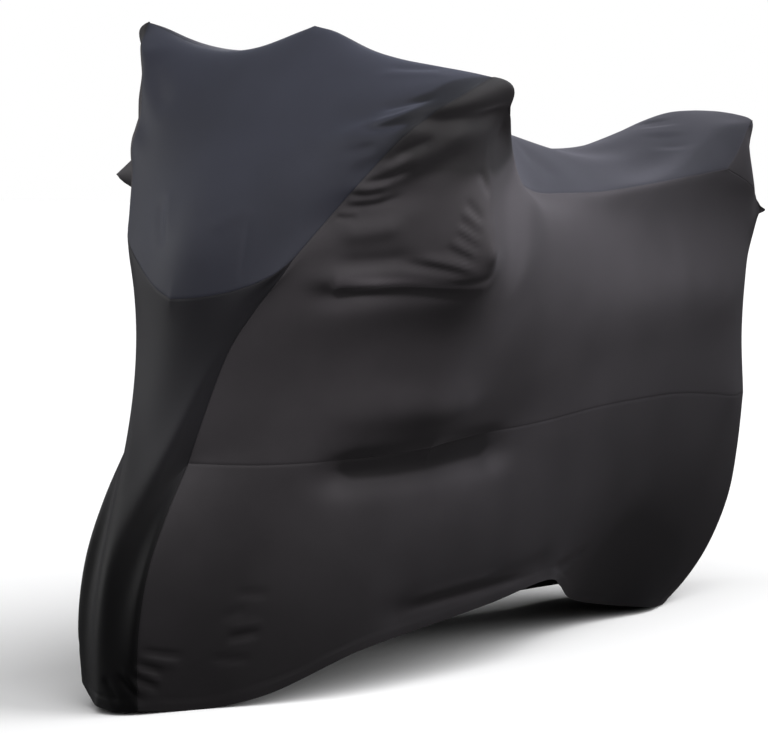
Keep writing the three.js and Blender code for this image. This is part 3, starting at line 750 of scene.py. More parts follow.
def steps_along(*runs: tuple[int, int]) -> np.ndarray:
    """The places of the fine grid lines, closer together at both ends of each run.

    Args:
        runs: The cells of each run and the steps that each cell is cut into.

    Returns:
        The places in cells.
    """
    places = [0.0]
    start = 0
    clear = max(SEAM_STEPS) * SEAM_CLEARANCE
    for cells, cuts in runs:
        even = np.arange(1, cells * cuts) / cuts
        inner = [place for place in even if clear < place < cells - clear]
        ends = list(SEAM_STEPS) + [cells - step for step in reversed(SEAM_STEPS)]
        places += [start + place for place in sorted(ends + inner)] + [start + cells]
        start += cells
    return np.array(places)


def turned(places: np.ndarray) -> np.ndarray:
    """The same places counted from the other end."""
    return (places[-1] - places)[::-1]


def corners_of(numbers: np.ndarray) -> np.ndarray:
    """The numbers of the four corners of each cell of a grid, anticlockwise from outside."""
    return np.stack([numbers[:-1, :-1], numbers[:-1, 1:], numbers[1:, 1:], numbers[1:, :-1]], -1)


def stripe_distance(points: np.ndarray, start: np.ndarray, end: np.ndarray) -> np.ndarray:
    """How far points are from a straight stripe.

    Args:
        points: The points.
        start: Where the stripe starts.
        end: Where it ends.

    Returns:
        The distance of each point.
    """
    way = end - start
    along = np.clip((points - start) @ way / (way @ way), 0, 1)
    return np.linalg.norm(points - start - along[..., None] * way, axis=-1)


class CoverNet:
    """The whole cloth as one net: points that panels share along their seams."""

    def __init__(self) -> None:
        """Lays the net and lets it settle."""
        self.plans = self._plans()
        self.points = np.zeros((0, 3))
        self.panels: dict[str, np.ndarray] = {}
        grids = {name: plan.coarse() for name, plan in self.plans.items()}
        grids = self._settled(grids, 1.0, RELAX_ROUNDS)
        grids = {
            name: plan.finer(
                grids[name], 1.0,
                np.arange(round(plan.height / HALF_CELL) + 1) * HALF_CELL,
                np.arange(round(plan.width / HALF_CELL) + 1) * HALF_CELL,
            )
            for name, plan in self.plans.items()
        }
        grids = self._settled(grids, HALF_CELL, SMOOTH_ROUNDS)
        self._join({
            name: plan.finer(grids[name], HALF_CELL, plan.row_steps, plan.column_steps)
            for name, plan in self.plans.items()
        })

    @staticmethod
    def _plans() -> dict[str, PanelPlan]:
        """Plans every panel, its cells counted anticlockwise from outside.

        Returns:
            The plan of each panel by its name.
        """
        left = SideSeams(Side.LEFT)
        right = SideSeams(Side.RIGHT)

        def across(name: str, ahead: SideSeams, behind: SideSeams) -> JoinedRun:
            """One seam across the motorcycle, from the side ahead to the side behind."""
            return JoinedRun(TurnedRun(getattr(ahead, name)), getattr(behind, name))

        rise = LOW + HIGH
        along = CHEEK + SEAT
        tip_row = rise - TAIL
        full = 2 * HALF
        width = steps_along((full, FINE["half"]))
        side_width = steps_along((CHEEK, FINE["cheek"]), (SEAT, FINE["seat"]))
        side_rise = steps_along((LOW, FINE["low"]), (HIGH, FINE["high"]))
        low_rise = steps_along((LOW, FINE["low"]))
        high_rise = steps_along((HIGH, FINE["high"]))
        plans = {
            "front_panel": PanelPlan(
                {0: across("toe_hem", right, left), rise: across("chin_seam", right, left)},
                {0: JoinedRun(right.front_low, right.front_high), HALF: left.front_line,
                 full: JoinedRun(left.front_low, left.front_high)},
                side_rise, width,
            ),
            "nose_panel": PanelPlan(
                {0: across("chin_seam", right, left), CHEEK: across("brow", right, left)},
                {0: right.mirror_seam, HALF: left.nose_line, full: left.mirror_seam},
                steps_along((CHEEK, FINE["cheek"])), width,
            ),
            "saddle_panel": PanelPlan(
                {0: across("brow", right, left), SEAT: across("tail_seam", right, left)},
                {0: right.seat_seam, HALF - SHOULDER_COLUMN: right.shoulder, HALF: left.saddle_line,
                 HALF + SHOULDER_COLUMN: left.shoulder, full: left.seat_seam},
                steps_along((SEAT, FINE["seat"])), width,
            ),
            "tail_panel": PanelPlan(
                {0: across("heel_hem", left, right), tip_row: across("tip_line", left, right),
                 rise: across("tail_seam", left, right)},
                {0: JoinedRun(left.rear_low, left.rear_high), HALF: left.tail_line,
                 full: JoinedRun(right.rear_low, right.rear_high)},
                side_rise, width,
            ),
        }
        for side, seams in ((Side.LEFT, left), (Side.RIGHT, right)):
            word = side.name.lower()
            lower = {0: seams.hem, BILGE_ROW: seams.bilge, LOW: seams.level}
            top = JoinedRun(seams.mirror_seam, seams.seat_seam)
            upper = {0: seams.level, BELT_ROW: seams.belt, HIGH: top}
            lower_ends = {0: seams.front_low, along: seams.rear_low}
            upper_ends = {0: seams.front_high, CHEEK: seams.ridge, along: seams.rear_high}
            steps = side_width
            if side is Side.RIGHT:
                lower = {row: TurnedRun(run) for row, run in lower.items()}
                upper = {row: TurnedRun(run) for row, run in upper.items()}
                lower_ends = {along - column: run for column, run in lower_ends.items()}
                upper_ends = {along - column: run for column, run in upper_ends.items()}
                steps = turned(side_width)
            ridge_column = CHEEK if side is Side.LEFT else SEAT
            plans[f"side_lower_{word}"] = PanelPlan(lower, lower_ends, low_rise, steps)
            plans[f"side_upper_{word}"] = PanelPlan(
                upper, upper_ends, high_rise, steps, (ridge_column,),
            )
        return plans

    def _join(self, grids: dict[str, np.ndarray]) -> None:
        """Numbers the points of all grids, each point of a shared seam once.

        Args:
            grids: The grid of each panel.
        """
        stacked = np.vstack([grid.reshape(-1, 3) for grid in grids.values()])
        keys = np.round(stacked * POINTS_PER_MM).astype(np.int64)
        _, first, numbers = np.unique(keys, axis=0, return_index=True, return_inverse=True)
        self.points = stacked[first]
        numbers = numbers.ravel()
        start = 0
        for name, grid in grids.items():
            size = grid.shape[0] * grid.shape[1]
            self.panels[name] = numbers[start:start + size].reshape(grid.shape[:2])
            start += size

    def _settled(self, grids: dict[str, np.ndarray], step: float,
                 rounds: int) -> dict[str, np.ndarray]:
        """Lets the cloth between the held lines settle into the smoothest shape they allow.

        Args:
            grids: The grid of each panel.
            step: The cells from one point to the next.
            rounds: How many small steps it is given.

        Returns:
            The settled grids.
        """
        self._join(grids)
        held = np.zeros(len(self.points), dtype=bool)
        for name, plan in self.plans.items():
            numbers = self.panels[name]
            rows = plan.rows if step == 1.0 else (0, plan.height)
            columns = plan.columns if step == 1.0 else (0, plan.width)
            for row in rows:
                held[numbers[round(row / step)]] = True
            for column in columns:
                held[numbers[:, round(column / step)]] = True
            for column in plan.firm_columns:
                held[numbers[round(FIRM_ROW / step):, round(column / step)]] = True
        pairs = np.vstack([
            np.stack([near.ravel(), far.ravel()], 1)
            for numbers in self.panels.values()
            for near, far in ((numbers[:-1], numbers[1:]), (numbers[:, :-1], numbers[:, 1:]))
        ])
        pairs = np.unique(np.sort(pairs, axis=1), axis=0)
        start = np.concatenate([pairs[:, 0], pairs[:, 1]])
        end = np.concatenate([pairs[:, 1], pairs[:, 0]])
        count = np.bincount(start, minlength=len(self.points))[:, None]

        def unevenness(values: np.ndarray) -> np.ndarray:
            """How far the mean of each point's neighbours is from it."""
            sums = [np.bincount(start, values[end, axis], len(values)) for axis in range(3)]
            return np.stack(sums, 1) / count - values

        free = ~held[:, None]
        for _ in range(rounds):
            pull = unevenness(self.points)
            self.points += free * (RELAX_PULL * pull - RELAX_BEND * unevenness(pull))
        return {name: self.points[numbers] for name, numbers in self.panels.items()}

    def normals(self) -> np.ndarray:
        """Takes the mean of the directions of the cells around each point.

        Returns:
            The direction out of the cloth at each point.
        """
        normals = np.zeros_like(self.points)
        for numbers in self.panels.values():
            corners = corners_of(numbers)
            a, b, c, d = (self.points[corners[..., k]] for k in range(4))
            facing = np.cross(c - a, d - b)
            facing /= np.maximum(np.linalg.norm(facing, axis=2, keepdims=True), TINY)
            for k in range(4):
                for axis in range(3):
                    normals[:, axis] += np.bincount(
                        corners[..., k].ravel(), facing[..., axis].ravel(), len(normals),
                    )
        return normals / np.maximum(np.linalg.norm(normals, axis=1, keepdims=True), TINY)

    def draw_tip(self, tip: Tip) -> None:
        """Draws the cloth around a hard end out to it.

        Args:
            tip: The hard end.
        """
        end = tip.end.on(tip.side)
        start = self.points[np.argmin(np.linalg.norm(self.points - end, axis=1))].copy()
        share = np.clip(1 - np.linalg.norm(self.points - start, axis=1) / tip.reach, 0, 1)
        self.points += (share ** 2)[:, None] * (end - start)

    def press_fold(self, fold: Fold, normals: np.ndarray) -> None:
        """Presses one straight fold into the cloth, or raises it, fading beyond its ends.

        Args:
            fold: The fold.
            normals: The direction out of the cloth at each point.
        """
        start, end = (spot.on(fold.side) for spot in fold.spots)
        way = end - start
        along = (self.points - start) @ way / (way @ way)
        across = np.linalg.norm(self.points - start - along[:, None] * way, axis=1) / fold.width
        beyond = np.maximum(np.maximum(-along, along - 1), 0) * np.linalg.norm(way) / fold.width
        swell = np.exp(-across ** 2 - (END_SOFTNESS * beyond) ** 2)
        self.points += (fold.depth * swell)[:, None] * normals

    def press_crease(self, crease: Fold, normals: np.ndarray) -> None:
        """Presses one bent crease into the cloth, or raises it, fading out at both ends.

        Args:
            crease: The crease.
            normals: The direction out of the cloth at each point.
        """
        run = Run(1, crease.spots, crease.side)
        points = run.points(np.linspace(0, 1, CREASE_POINTS * len(crease.spots)))
        reach = CREASE_REACH * crease.width
        low, high = points.min(axis=0) - reach, points.max(axis=0) + reach
        near = np.all((self.points > low) & (self.points < high), axis=1)
        cloth = self.points[near]
        best = np.full(len(cloth), np.inf)
        place = np.zeros(len(cloth))
        spans = len(points) - 1
        for i in range(spans):
            way = points[i + 1] - points[i]
            along = np.clip((cloth - points[i]) @ way / (way @ way), 0, 1)
            away = np.linalg.norm(cloth - points[i] - along[:, None] * way, axis=1)
            closer = away < best
            best[closer] = away[closer]
            place[closer] = (i + along[closer]) / spans
        fade = eased(np.minimum(place, 1 - place) / CREASE_FADE)
        swell = np.exp(-(best / crease.width) ** 2) * fade
        self.points[near] += (crease.depth * swell)[:, None] * normals[near]

    def shape(self) -> None:
        """Presses the tips, folds and creases into the cloth."""
        for tip in TIPS:
            self.draw_tip(tip)
        smooth = self.normals()
        for fold in LARGE_FOLDS:
            self.press_fold(fold, smooth)
        for crease in LEFT_CREASES + RIGHT_CREASES:
            self.press_crease(crease, smooth)


@dataclass(frozen=True)
class Edging:
    """How the cloth is finished at its seams and its hem, in millimetres."""

    dip: float = 0.8
    dip_width: float = 2.2
    hem_band: float = 21.0
    hem_groove: float = 0.9
    groove_width: float = 2.2
    hem_swell: float = 0.7


class PanelSheet:
    """One panel as a closed thin sheet: an outer skin, an inner skin and the rim between."""

    def __init__(self, net: CoverNet, normals: np.ndarray, name: str, hem: bool,
                 edging: Edging) -> None:
        """Takes the panel's points and works out its skins.

        Args:
            net: The whole cloth.
            normals: The direction out of the cloth at each of its points.
            name: The panel's name.
            hem: Whether its lowest row is a hem.
            edging: The finish of the edges.
        """
        numbers = net.panels[name]
        self.height, self.width = numbers.shape
        self.grid = net.points[numbers]
        self.normal = normals[numbers]
        self.row_reach = self._reach(0)
        self.column_reach = self._reach(1)
        lift = self._lift(hem, edging)
        spread = self.grid + self._inward() * (SEAM_GAP / 2) + lift[..., None] * self.normal
        self.skins = [spread + self.normal * (side * SHEET / 2) for side in (1, -1)]

    def _reach(self, axis: int) -> np.ndarray:
        """Measures the cloth along its rows or columns.

        Args:
            axis: 0 from the first row on, 1 from the first column on.

        Returns:
            The length of cloth up to each point.
        """
        steps = np.linalg.norm(np.diff(self.grid, axis=axis), axis=2)
        start = np.zeros_like(steps[:1] if axis == 0 else steps[:, :1])
        return np.concatenate([start, np.cumsum(steps, axis=axis)], axis=axis)

    def _lift(self, hem: bool, edging: Edging) -> np.ndarray:
        """Works out the dips along the seams and the band of the hem.

        Args:
            hem: Whether the lowest row is a hem.
            edging: The finish of the edges.

        Returns:
            How far each point is lifted out of the smooth cloth.
        """
        rise, reach = self.row_reach, self.column_reach
        away = np.minimum(rise[-1:] - rise, np.minimum(reach, reach[:, -1:] - reach))
        if not hem:
            away = np.minimum(away, rise)
        lift = -edging.dip * np.exp(-(away / edging.dip_width) ** 2)
        if hem:
            groove = np.exp(-((rise - edging.hem_band) / edging.groove_width) ** 2)
            band = 1 / (1 + np.exp((rise - edging.hem_band) / edging.groove_width))
            lift += edging.hem_swell * band - edging.hem_groove * groove
        return lift

    def _inward(self) -> np.ndarray:
        """Finds the way into the panel from its edge points.

        Returns:
            A step for each point, none inside. It stands one away from each stretch of edge
            that meets there.
        """
        step = np.zeros_like(self.grid)
        ways: dict[tuple[int, int], list[np.ndarray]] = {}
        for column in range(self.width):
            for row, inner in ((0, 1), (self.height - 1, self.height - 2)):
                inside, normal = self.grid[inner, column], self.normal[row, column]
                way = self._way(self.grid[row], column, inside, normal)
                ways.setdefault((row, column), []).append(way)
        for row in range(self.height):
            for column, inner in ((0, 1), (self.width - 1, self.width - 2)):
                inside, normal = self.grid[row, inner], self.normal[row, column]
                way = self._way(self.grid[:, column], row, inside, normal)
                ways.setdefault((row, column), []).append(way)
        for place, found in ways.items():
            total = np.sum(found, axis=0)
            step[place] = total / max(1 + found[0] @ found[1], SHARPEST) if len(found) > 1 else total
        return step

    @staticmethod
    def _way(line: np.ndarray, at: int, inner: np.ndarray, normal: np.ndarray) -> np.ndarray:
        """The way into the cloth from one point of an edge.

        Args:
            line: The points of the edge.
            at: Which of them is meant.
            inner: The next point inside the panel.
            normal: The direction out of the cloth.

        Returns:
            The way, along the cloth and square to the edge.
        """
        here = line[at]
        before, after = line[max(at - 1, 0)], line[min(at + 1, len(line) - 1)]
        to_before, to_after = unit(before - here), unit(after - here)
        edge = unit(to_after - to_before)
        way = inner - here
        way = way - edge * (way @ edge)
        way = unit(way - normal * (way @ normal))
        if at in (0, len(line) - 1):
            return way
        cosine = float(np.clip(to_before @ to_after, -1, 1))
        return way / max(math.sqrt((1 - cosine) / 2), SHARPEST)

    def _paint_light_and_shade(self) -> np.ndarray:
        """Paints light and shade by how far the cloth faces up.

        Returns:
            How far each point faces up, from -1 to 1, with the stripes of painted light and shade
            added.
        """
        # Painted light where the cloth faces up and painted shade where it faces down.
        settled = self.normal[..., 2] * math.cos(LEAN) - self.normal[..., 1] * math.sin(LEAN)
        for stripe in PAINTED_LIGHT_SHADE_STRIPES:
            start, end = stripe.start.on(stripe.side), stripe.end.on(stripe.side)
            away = stripe_distance(self.grid, start, end) / stripe.reach
            settled = settled + stripe.share * np.exp(-away ** 2)
        return settled

    def _rim(self) -> np.ndarray:
        """The numbers of the edge points as one loop, anticlockwise from outside."""
        number = np.arange(self.height * self.width).reshape(self.height, self.width)
        return np.concatenate([
            number[0, :-1], number[:-1, -1], number[-1, :0:-1], number[:0:-1, 0],
        ])

    def build(self, name: str) -> bpy.types.Object:
        """Makes the sheet's mesh and object.

        Args:
            name: The object's name.

        Returns:
            The object, at the origin of the part.
        """
        count = self.height * self.width
        number = np.arange(count).reshape(self.height, self.width)
        outer = corners_of(number).reshape(-1, 4)
        inner = outer[:, ::-1] + count
        rim = self._rim()
        after = np.roll(rim, -1)
        walls = np.stack([rim + count, after + count, after, rim], 1)
        faces = np.vstack([outer, inner, walls])
        points = to_part(np.vstack([skin.reshape(-1, 3) for skin in self.skins]))
        mesh = bpy.data.meshes.new(name)
        mesh.vertices.add(len(points))
        mesh.vertices.foreach_set("co", points.astype(np.float32).ravel())
        mesh.loops.add(faces.size)
        mesh.loops.foreach_set("vertex_index", faces.astype(np.int32).ravel())
        mesh.polygons.add(len(faces))
        mesh.polygons.foreach_set("loop_start", np.arange(0, faces.size, 4, dtype=np.int32))
        mesh.update(calc_edges=True)
        weave = mesh.uv_layers.new(name=WEAVE_MAP)
        middle_row, middle_column = self.height // 2, self.width // 2
        flat = np.stack([
            self.column_reach - self.column_reach[:, [middle_column]],
            self.row_reach - self.row_reach[[middle_row]],
        ], -1).reshape(-1, 2) * MM
        flat = np.vstack([flat, flat])
        weave.uv.foreach_set("vector", flat[faces.ravel()].astype(np.float32).ravel())
        # The painted light and shade, which the finishes read.
        painted_light = mesh.attributes.new(PAINTED_LIGHT_MAP, "FLOAT", "POINT")
        painted_light.data.foreach_set("value", np.tile(self._paint_light_and_shade().ravel(), 2).astype(np.float32))
        piece = bpy.data.objects.new(name, mesh)
        bpy.context.scene.collection.objects.link(piece)
        smooth_shade(piece)
        return piece


def unit(vector: np.ndarray) -> np.ndarray:
    """The vector at a length of one."""
    return vector / max(float(np.linalg.norm(vector)), TINY)


def to_part(points: np.ndarray) -> np.ndarray:
    """Leans points over with the motorcycle.

    Args:
        points: Points on the upright motorcycle, in millimetres.

    Returns:
        The same points in the part's own place, in metres.
    """
    x, y, z = points.T
    cosine, sine = math.cos(LEAN), math.sin(LEAN)
    leaned = np.stack([x, y * cosine + z * sine, z * cosine - y * sine], 1)
    return (leaned + np.array(TO_ORIGIN)) * MM


def smooth_shade(piece: bpy.types.Object) -> None:
    """Shades a piece smooth, but for its sharp rims.

    Args:
        piece: The piece.
    """
    bpy.ops.object.select_all(action="DESELECT")
    piece.select_set(True)
    bpy.context.view_layer.objects.active = piece
    bpy.ops.object.shade_smooth_by_angle(angle=SHARP_ANGLE)


class Value:
    """A number that changes over a surface. Python's operators add Math nodes to it."""

    def __init__(self, board: "Board", socket: bpy.types.NodeSocket) -> None:
        """Wraps an output socket of the board's material."""
        self.board = board
        self.socket = socket

    def _math(self, operation: str, *terms: "Term") -> "Value":
        """A Math node of these terms."""
        return self.board.node("ShaderNodeMath", {"operation": operation}, dict(enumerate(terms)))

    def __add__(self, other: "Term") -> "Value":
        """The sum."""
        return self._math("ADD", self, other)

    def __radd__(self, other: "Term") -> "Value":
        """The sum, with the number first."""
        return self._math("ADD", other, self)

    def __sub__(self, other: "Term") -> "Value":
        """The difference."""
        return self._math("SUBTRACT", self, other)

    def __rsub__(self, other: "Term") -> "Value":
        """The difference, with the number first."""
        return self._math("SUBTRACT", other, self)

    def __mul__(self, other: "Term") -> "Value":
        """The product."""
        return self._math("MULTIPLY", self, other)

    def __rmul__(self, other: "Term") -> "Value":
        """The product, with the number first."""
        return self._math("MULTIPLY", other, self)

    def __abs__(self) -> "Value":
        """The size without its sign."""
        return self._math("ABSOLUTE", self)

    def fraction(self) -> "Value":
        """The part after the point."""
        return self._math("FRACT", self)

    def sine(self) -> "Value":
        """The sine of the value in radians."""
        return self._math("SINE", self)

    def between(self, low: float, high: float) -> "Value":
        """Zero at low, one at high and a soft change between them."""
        settings = {"interpolation_type": "SMOOTHSTEP"}
        return self.board.node("ShaderNodeMapRange", settings, {"Value": self, 1: low, 2: high})


Term = Union[Value, float]


class Board:
    """The nodes of one material."""

    def __init__(self, name: str) -> None:
        """Starts a material with its shader and its output.

        Args:
            name: The material's name.
        """
        self.material = bpy.data.materials.new(name)
        self.material.use_nodes = True
        self.tree = self.material.node_tree
        self.tree.nodes.clear()
        output = self.tree.nodes.new("ShaderNodeOutputMaterial")
        self.shader = self.tree.nodes.new("ShaderNodeBsdfPrincipled")
        self.tree.links.new(self.shader.outputs[0], output.inputs["Surface"])

    def node(self, kind: str, settings: dict[str, Any], inputs: dict[Union[str, int], Any],
             output: Union[str, int] = 0) -> Value:
        """Adds a node.

        Args:
            kind: Its type.
            settings: Its own settings, which are set first.
            inputs: Values or links for its sockets.
            output: The output that is wanted.

        Returns:
            The wanted output.
        """
        made = self.tree.nodes.new(kind)
        for name, value in settings.items():
            setattr(made, name, value)
        for name, value in inputs.items():
            self.set(made.inputs[name], value)
        return Value(self, made.outputs[output])

    def set(self, socket: bpy.types.NodeSocket, value: Any) -> None:
        """Sets a socket.

        Args:
            socket: The socket.
            value: A value to link to it, or a constant.
        """
        if isinstance(value, Value):
            self.tree.links.new(value.socket, socket)
        else:
            socket.default_value = value

    def finish(self, values: dict[str, Any]) -> bpy.types.Material:
        """Sets the shader's sockets.

        Args:
            values: A value or a constant for each socket's name.

        Returns:
            The material.
        """
        for name, value in values.items():
            self.set(self.shader.inputs[name], value)
        return self.material


@dataclass(frozen=True)
class StretchKnit:
    """Dark stretch cloth: a fine smooth knit with a faint bloom at a flat angle.

    Stitch and course are the width and the height of its loops, in metres. The painted shade
    towards the bottom is given by the height up to which the cloth is darkest, the height from
    which it has its full colour, and the share of it at the bottom. The painted shade on
    undersides and the painted light on what faces up are given as shares of the colour. The
    shares of cloud, lint, loops and the even colour add up to the grain.
    """

    name: str
    colour: tuple[float, float, float]
    bloom: tuple[float, float, float]
    sheen: float
    low_shade: tuple[float, float, float] = (0.0, 0.1, 1.0)
    shaded_share: float = 0.3
    lit_share: float = 1.6
    roughness: float = 0.62
    rough_change: float = 0.10
    sheen_roughness: float = 0.45
    shine: float = 0.28
    stitch: float = 0.0012
    course: float = 0.0009
    relief: float = 0.35
    relief_depth: float = 0.00025
    cloud_range: tuple[float, float] = (0.25, 0.75)
    cloud_share: float = 0.20
    lint_share: float = 0.14
    loop_share: float = 0.06
    even_share: float = 0.80
    cloud_drift: float = 0.12
    loop_relief: float = 0.7
    lint_relief: float = 0.5
    undersides: tuple[float, float] = (-0.72, -0.22)
    uppersides: tuple[float, float] = (-0.2, 0.5)

    def _loops(self, board: Board) -> Value:
        """Adds the knit's loops.

        Args:
            board: The nodes of the material.

        Returns:
            Their height, from 0 between them to 1 on them.
        """
        weave = board.node("ShaderNodeUVMap", {"uv_map": WEAVE_MAP}, {})
        across, along = (
            board.node("ShaderNodeSeparateXYZ", {}, {0: weave}, axis) * (1 / size)
            for axis, size in (("X", self.stitch), ("Y", self.course))
        )
        rib = abs((across * math.pi).sine())
        loop = ((along + abs(across.fraction() - 0.5)) * (2 * math.pi)).sine() * 0.5 + 0.5
        return rib * (loop * 0.5 + 0.5)

    @staticmethod
    def _noise(board: Board, place: Value, scale: float, detail: float, roughness: float) -> Value:
        """Adds an uneven pattern.

        Args:
            board: The nodes of the material.
            place: The place on the object.
            scale: How many of its blots there are in a metre.
            detail: How many finer layers it has.
            roughness: How strong these are.

        Returns:
            The pattern, from 0 to 1.
        """
        inputs = {"Vector": place, "Scale": scale, "Detail": detail, "Roughness": roughness}
        return board.node("ShaderNodeTexNoise", {"noise_dimensions": "3D"}, inputs, "Fac")

    def _tone(self, board: Board, place: Value, cloud: Value, grain: Value) -> Value:
        """Works out how light the cloth is.

        Args:
            board: The nodes of the material.
            place: The place on the object.
            cloud: The broad unevenness.
            grain: The fine unevenness, about one.

        Returns:
            The share of its colour.
        """
        # Painted shade: the cloth is darker towards the bottom, where it lies in shadow.
        low, high, deepest = self.low_shade
        height = board.node("ShaderNodeSeparateXYZ", {}, {0: place}, "Z")
        drift = (cloud - 0.5) * self.cloud_drift
        rise = (height + drift).between(low, high) * (1 - deepest) + deepest
        # Painted shade on undersides and painted light on what faces up.
        upward = board.node("ShaderNodeAttribute", {"attribute_name": PAINTED_LIGHT_MAP}, {}, "Fac")
        shaded_share = upward.between(*self.undersides) * (1 - self.shaded_share) + self.shaded_share
        lit_share = upward.between(*self.uppersides) * (self.lit_share - 1) + 1
        return grain * rise * shaded_share * lit_share

    def make(self) -> bpy.types.Material:
        """Makes the finish.

        Returns:
            The material.
        """
        board = Board(self.name)
        place = board.node("ShaderNodeTexCoord", {}, {}, "Object")
        cloud = self._noise(board, place, scale=7.0, detail=4.0, roughness=0.55)
        lint = self._noise(board, place, scale=420.0, detail=2.0, roughness=0.6)
        loops = self._loops(board)
        spread = cloud.between(*self.cloud_range) * self.cloud_share
        grain = spread + lint * self.lint_share + loops * self.loop_share + self.even_share
        tone = self._tone(board, place, cloud, grain)
        # The mix runs from black to twice the colour, so that a tone of one gives the colour.
        black = (0.0, 0.0, 0.0, 1.0)
        palest = tuple(part * 2 for part in self.colour) + (1.0,)
        mix = {0: tone * 0.5, 6: black, 7: palest}
        bump = {
            "Strength": self.relief, "Distance": self.relief_depth,
            "Height": loops * self.loop_relief + lint * self.lint_relief,
        }
        return board.finish({
            "Base Color": board.node("ShaderNodeMix", {"data_type": "RGBA"}, mix, 2),
            "Roughness": cloud * self.rough_change + (self.roughness - self.rough_change / 2),
            "Specular IOR Level": self.shine,
            "Sheen Weight": self.sheen,
            "Sheen Roughness": self.sheen_roughness,
            "Sheen Tint": self.bloom + (1.0,),
            "Normal": board.node("ShaderNodeBump", {}, bump, "Normal"),
        })


# Lit and shaded copies of one knit, their colours set to the light on each panel: the front much
# darker as painted shade, the nose and the saddle bluer as painted light from above, and the sides
# lighter as painted light. The front and the sides also get painted shade towards the bottom.
SHADED_FRONT_KNIT = StretchKnit(
    "front_knit_painted_shade", (0.0105, 0.0100, 0.0128), (0.60, 0.58, 0.66), 0.06, (0.26, 0.52, 0.18),
)
LIT_NOSE_KNIT = StretchKnit(
    "nose_knit_painted_light", (0.0265, 0.0278, 0.0395), (0.60, 0.63, 0.78), 0.16, lit_share=1.15,
)
LIT_SADDLE_KNIT = StretchKnit(
    "saddle_knit_painted_light", (0.0370, 0.0370, 0.0455), (0.65, 0.65, 0.77), 0.24, lit_share=1.2,
)
LIT_SIDE_KNIT = StretchKnit(
    "side_knit_painted_light", (0.0430, 0.0396, 0.0438), (0.66, 0.63, 0.68), 0.14, (0.02, 0.62, 0.40),
)


@dataclass(frozen=True)
class ClothPanel:
    """One panel of the cover: what it replaces, its finish and its cut size in metres."""

    node: str
    slot: str
    knit: StretchKnit
    flat: tuple[float, float]
    area: float
    hem: bool = False

    def build(self, net: CoverNet, normals: np.ndarray, edging: Edging) -> bpy.types.Object:
        """Makes the panel's sheet.

        Args:
            net: The whole cloth.
            normals: The direction out of the cloth at each of its points.
            edging: The finish of seams and hem.

        Returns:
            The panel's object.
        """
        sheet = PanelSheet(net, normals, self.node, self.hem, edging)
        return sheet.build(f"{self.node}_cloth")

    def dress(self, piece: bpy.types.Object, material: bpy.types.Material) -> None:
        """Gives the panel its finish, hangs it on the root body and hides the part that it replaces.

        Args:
            piece: The panel's object.
            material: Its finish.
        """
        piece.data.materials.append(material)
        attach(piece, "root")
        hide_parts(self.node)


@dataclass
class Cover:
    """The sewn cover, panel by panel."""

    edging: Edging = Edging()
    panels: tuple[ClothPanel, ...] = (
        ClothPanel("front_panel", "front_cloth", SHADED_FRONT_KNIT, (0.24, 0.68), 0.11, hem=True),
        ClothPanel("nose_panel", "nose_cloth", LIT_NOSE_KNIT, (0.90, 0.50), 0.21),
        ClothPanel("saddle_panel", "saddle_cloth", LIT_SADDLE_KNIT, (0.76, 1.42), 0.54),
        ClothPanel("tail_panel", "side_cloth", LIT_SIDE_KNIT, (0.28, 1.12), 0.22, hem=True),
        ClothPanel("side_upper_left", "side_cloth", LIT_SIDE_KNIT, (1.72, 0.66), 0.71),
        ClothPanel("side_lower_left", "side_cloth", LIT_SIDE_KNIT, (1.68, 0.46), 0.59, hem=True),
        ClothPanel("side_upper_right", "side_cloth", LIT_SIDE_KNIT, (1.72, 0.66), 0.71),
        ClothPanel("side_lower_right", "side_cloth", LIT_SIDE_KNIT, (1.68, 0.46), 0.59, hem=True),
    )

    def build(self) -> list[bpy.types.Object]:
        """Settles the cloth, then makes and dresses every panel.

        Returns:
            The panels' objects.
        """
        net = CoverNet()
        net.shape()
        normals = net.normals()
        materials = {panel.knit: panel.knit.make() for panel in self.panels}
        pieces = []
        for panel in self.panels:
            piece = panel.build(net, normals, self.edging)
            panel.dress(piece, materials[panel.knit])
            LOG.info("%s: %d faces", piece.name, len(piece.data.polygons))
            pieces.append(piece)
        return pieces


@dataclass(frozen=True)
class SoftBox:
    """A square soft box near the cover: its place in metres, its power in watts and its width."""

    name: str
    place: tuple[float, float, float]
    power: float
    width: float = 0.9
    colour: tuple[float, float, float] = (1.0, 1.0, 1.0)

    def hang(self, aim: tuple[float, float, float]) -> bpy.types.Object:
        """Adds the soft box.

        Args:
            aim: The point that it faces.

        Returns:
            Its object.
        """
        light = bpy.data.lights.new(self.name, "AREA")
        light.energy = self.power
        light.size = self.width
        light.color = self.colour
        box = bpy.data.objects.new(self.name, light)
        box.location = self.place
        box.rotation_euler = (Vector(self.place) - Vector(aim)).to_track_quat("Z", "Y").to_euler()
        bpy.context.scene.collection.objects.link(box)
        return box


@dataclass(frozen=True)
class Lamp:
    """A distant soft light: where it comes from, its strength and its softness in degrees."""

    name: str
    azimuth: float
    height: float
    strength: float
    softness: float

    def hang(self) -> bpy.types.Object:
        """Adds the light, its azimuth counted anticlockwise from the cover's nose.

        Returns:
            Its object.
        """
        light = bpy.data.lights.new(self.name, "SUN")
        light.energy = self.strength
        light.angle = math.radians(self.softness)
        lamp = bpy.data.objects.new(self.name, light)
        tilt = math.radians(90 - self.height)
        lamp.rotation_euler = (tilt, 0, math.radians(self.azimuth + 90))
        bpy.context.scene.collection.objects.link(lamp)
        return lamp


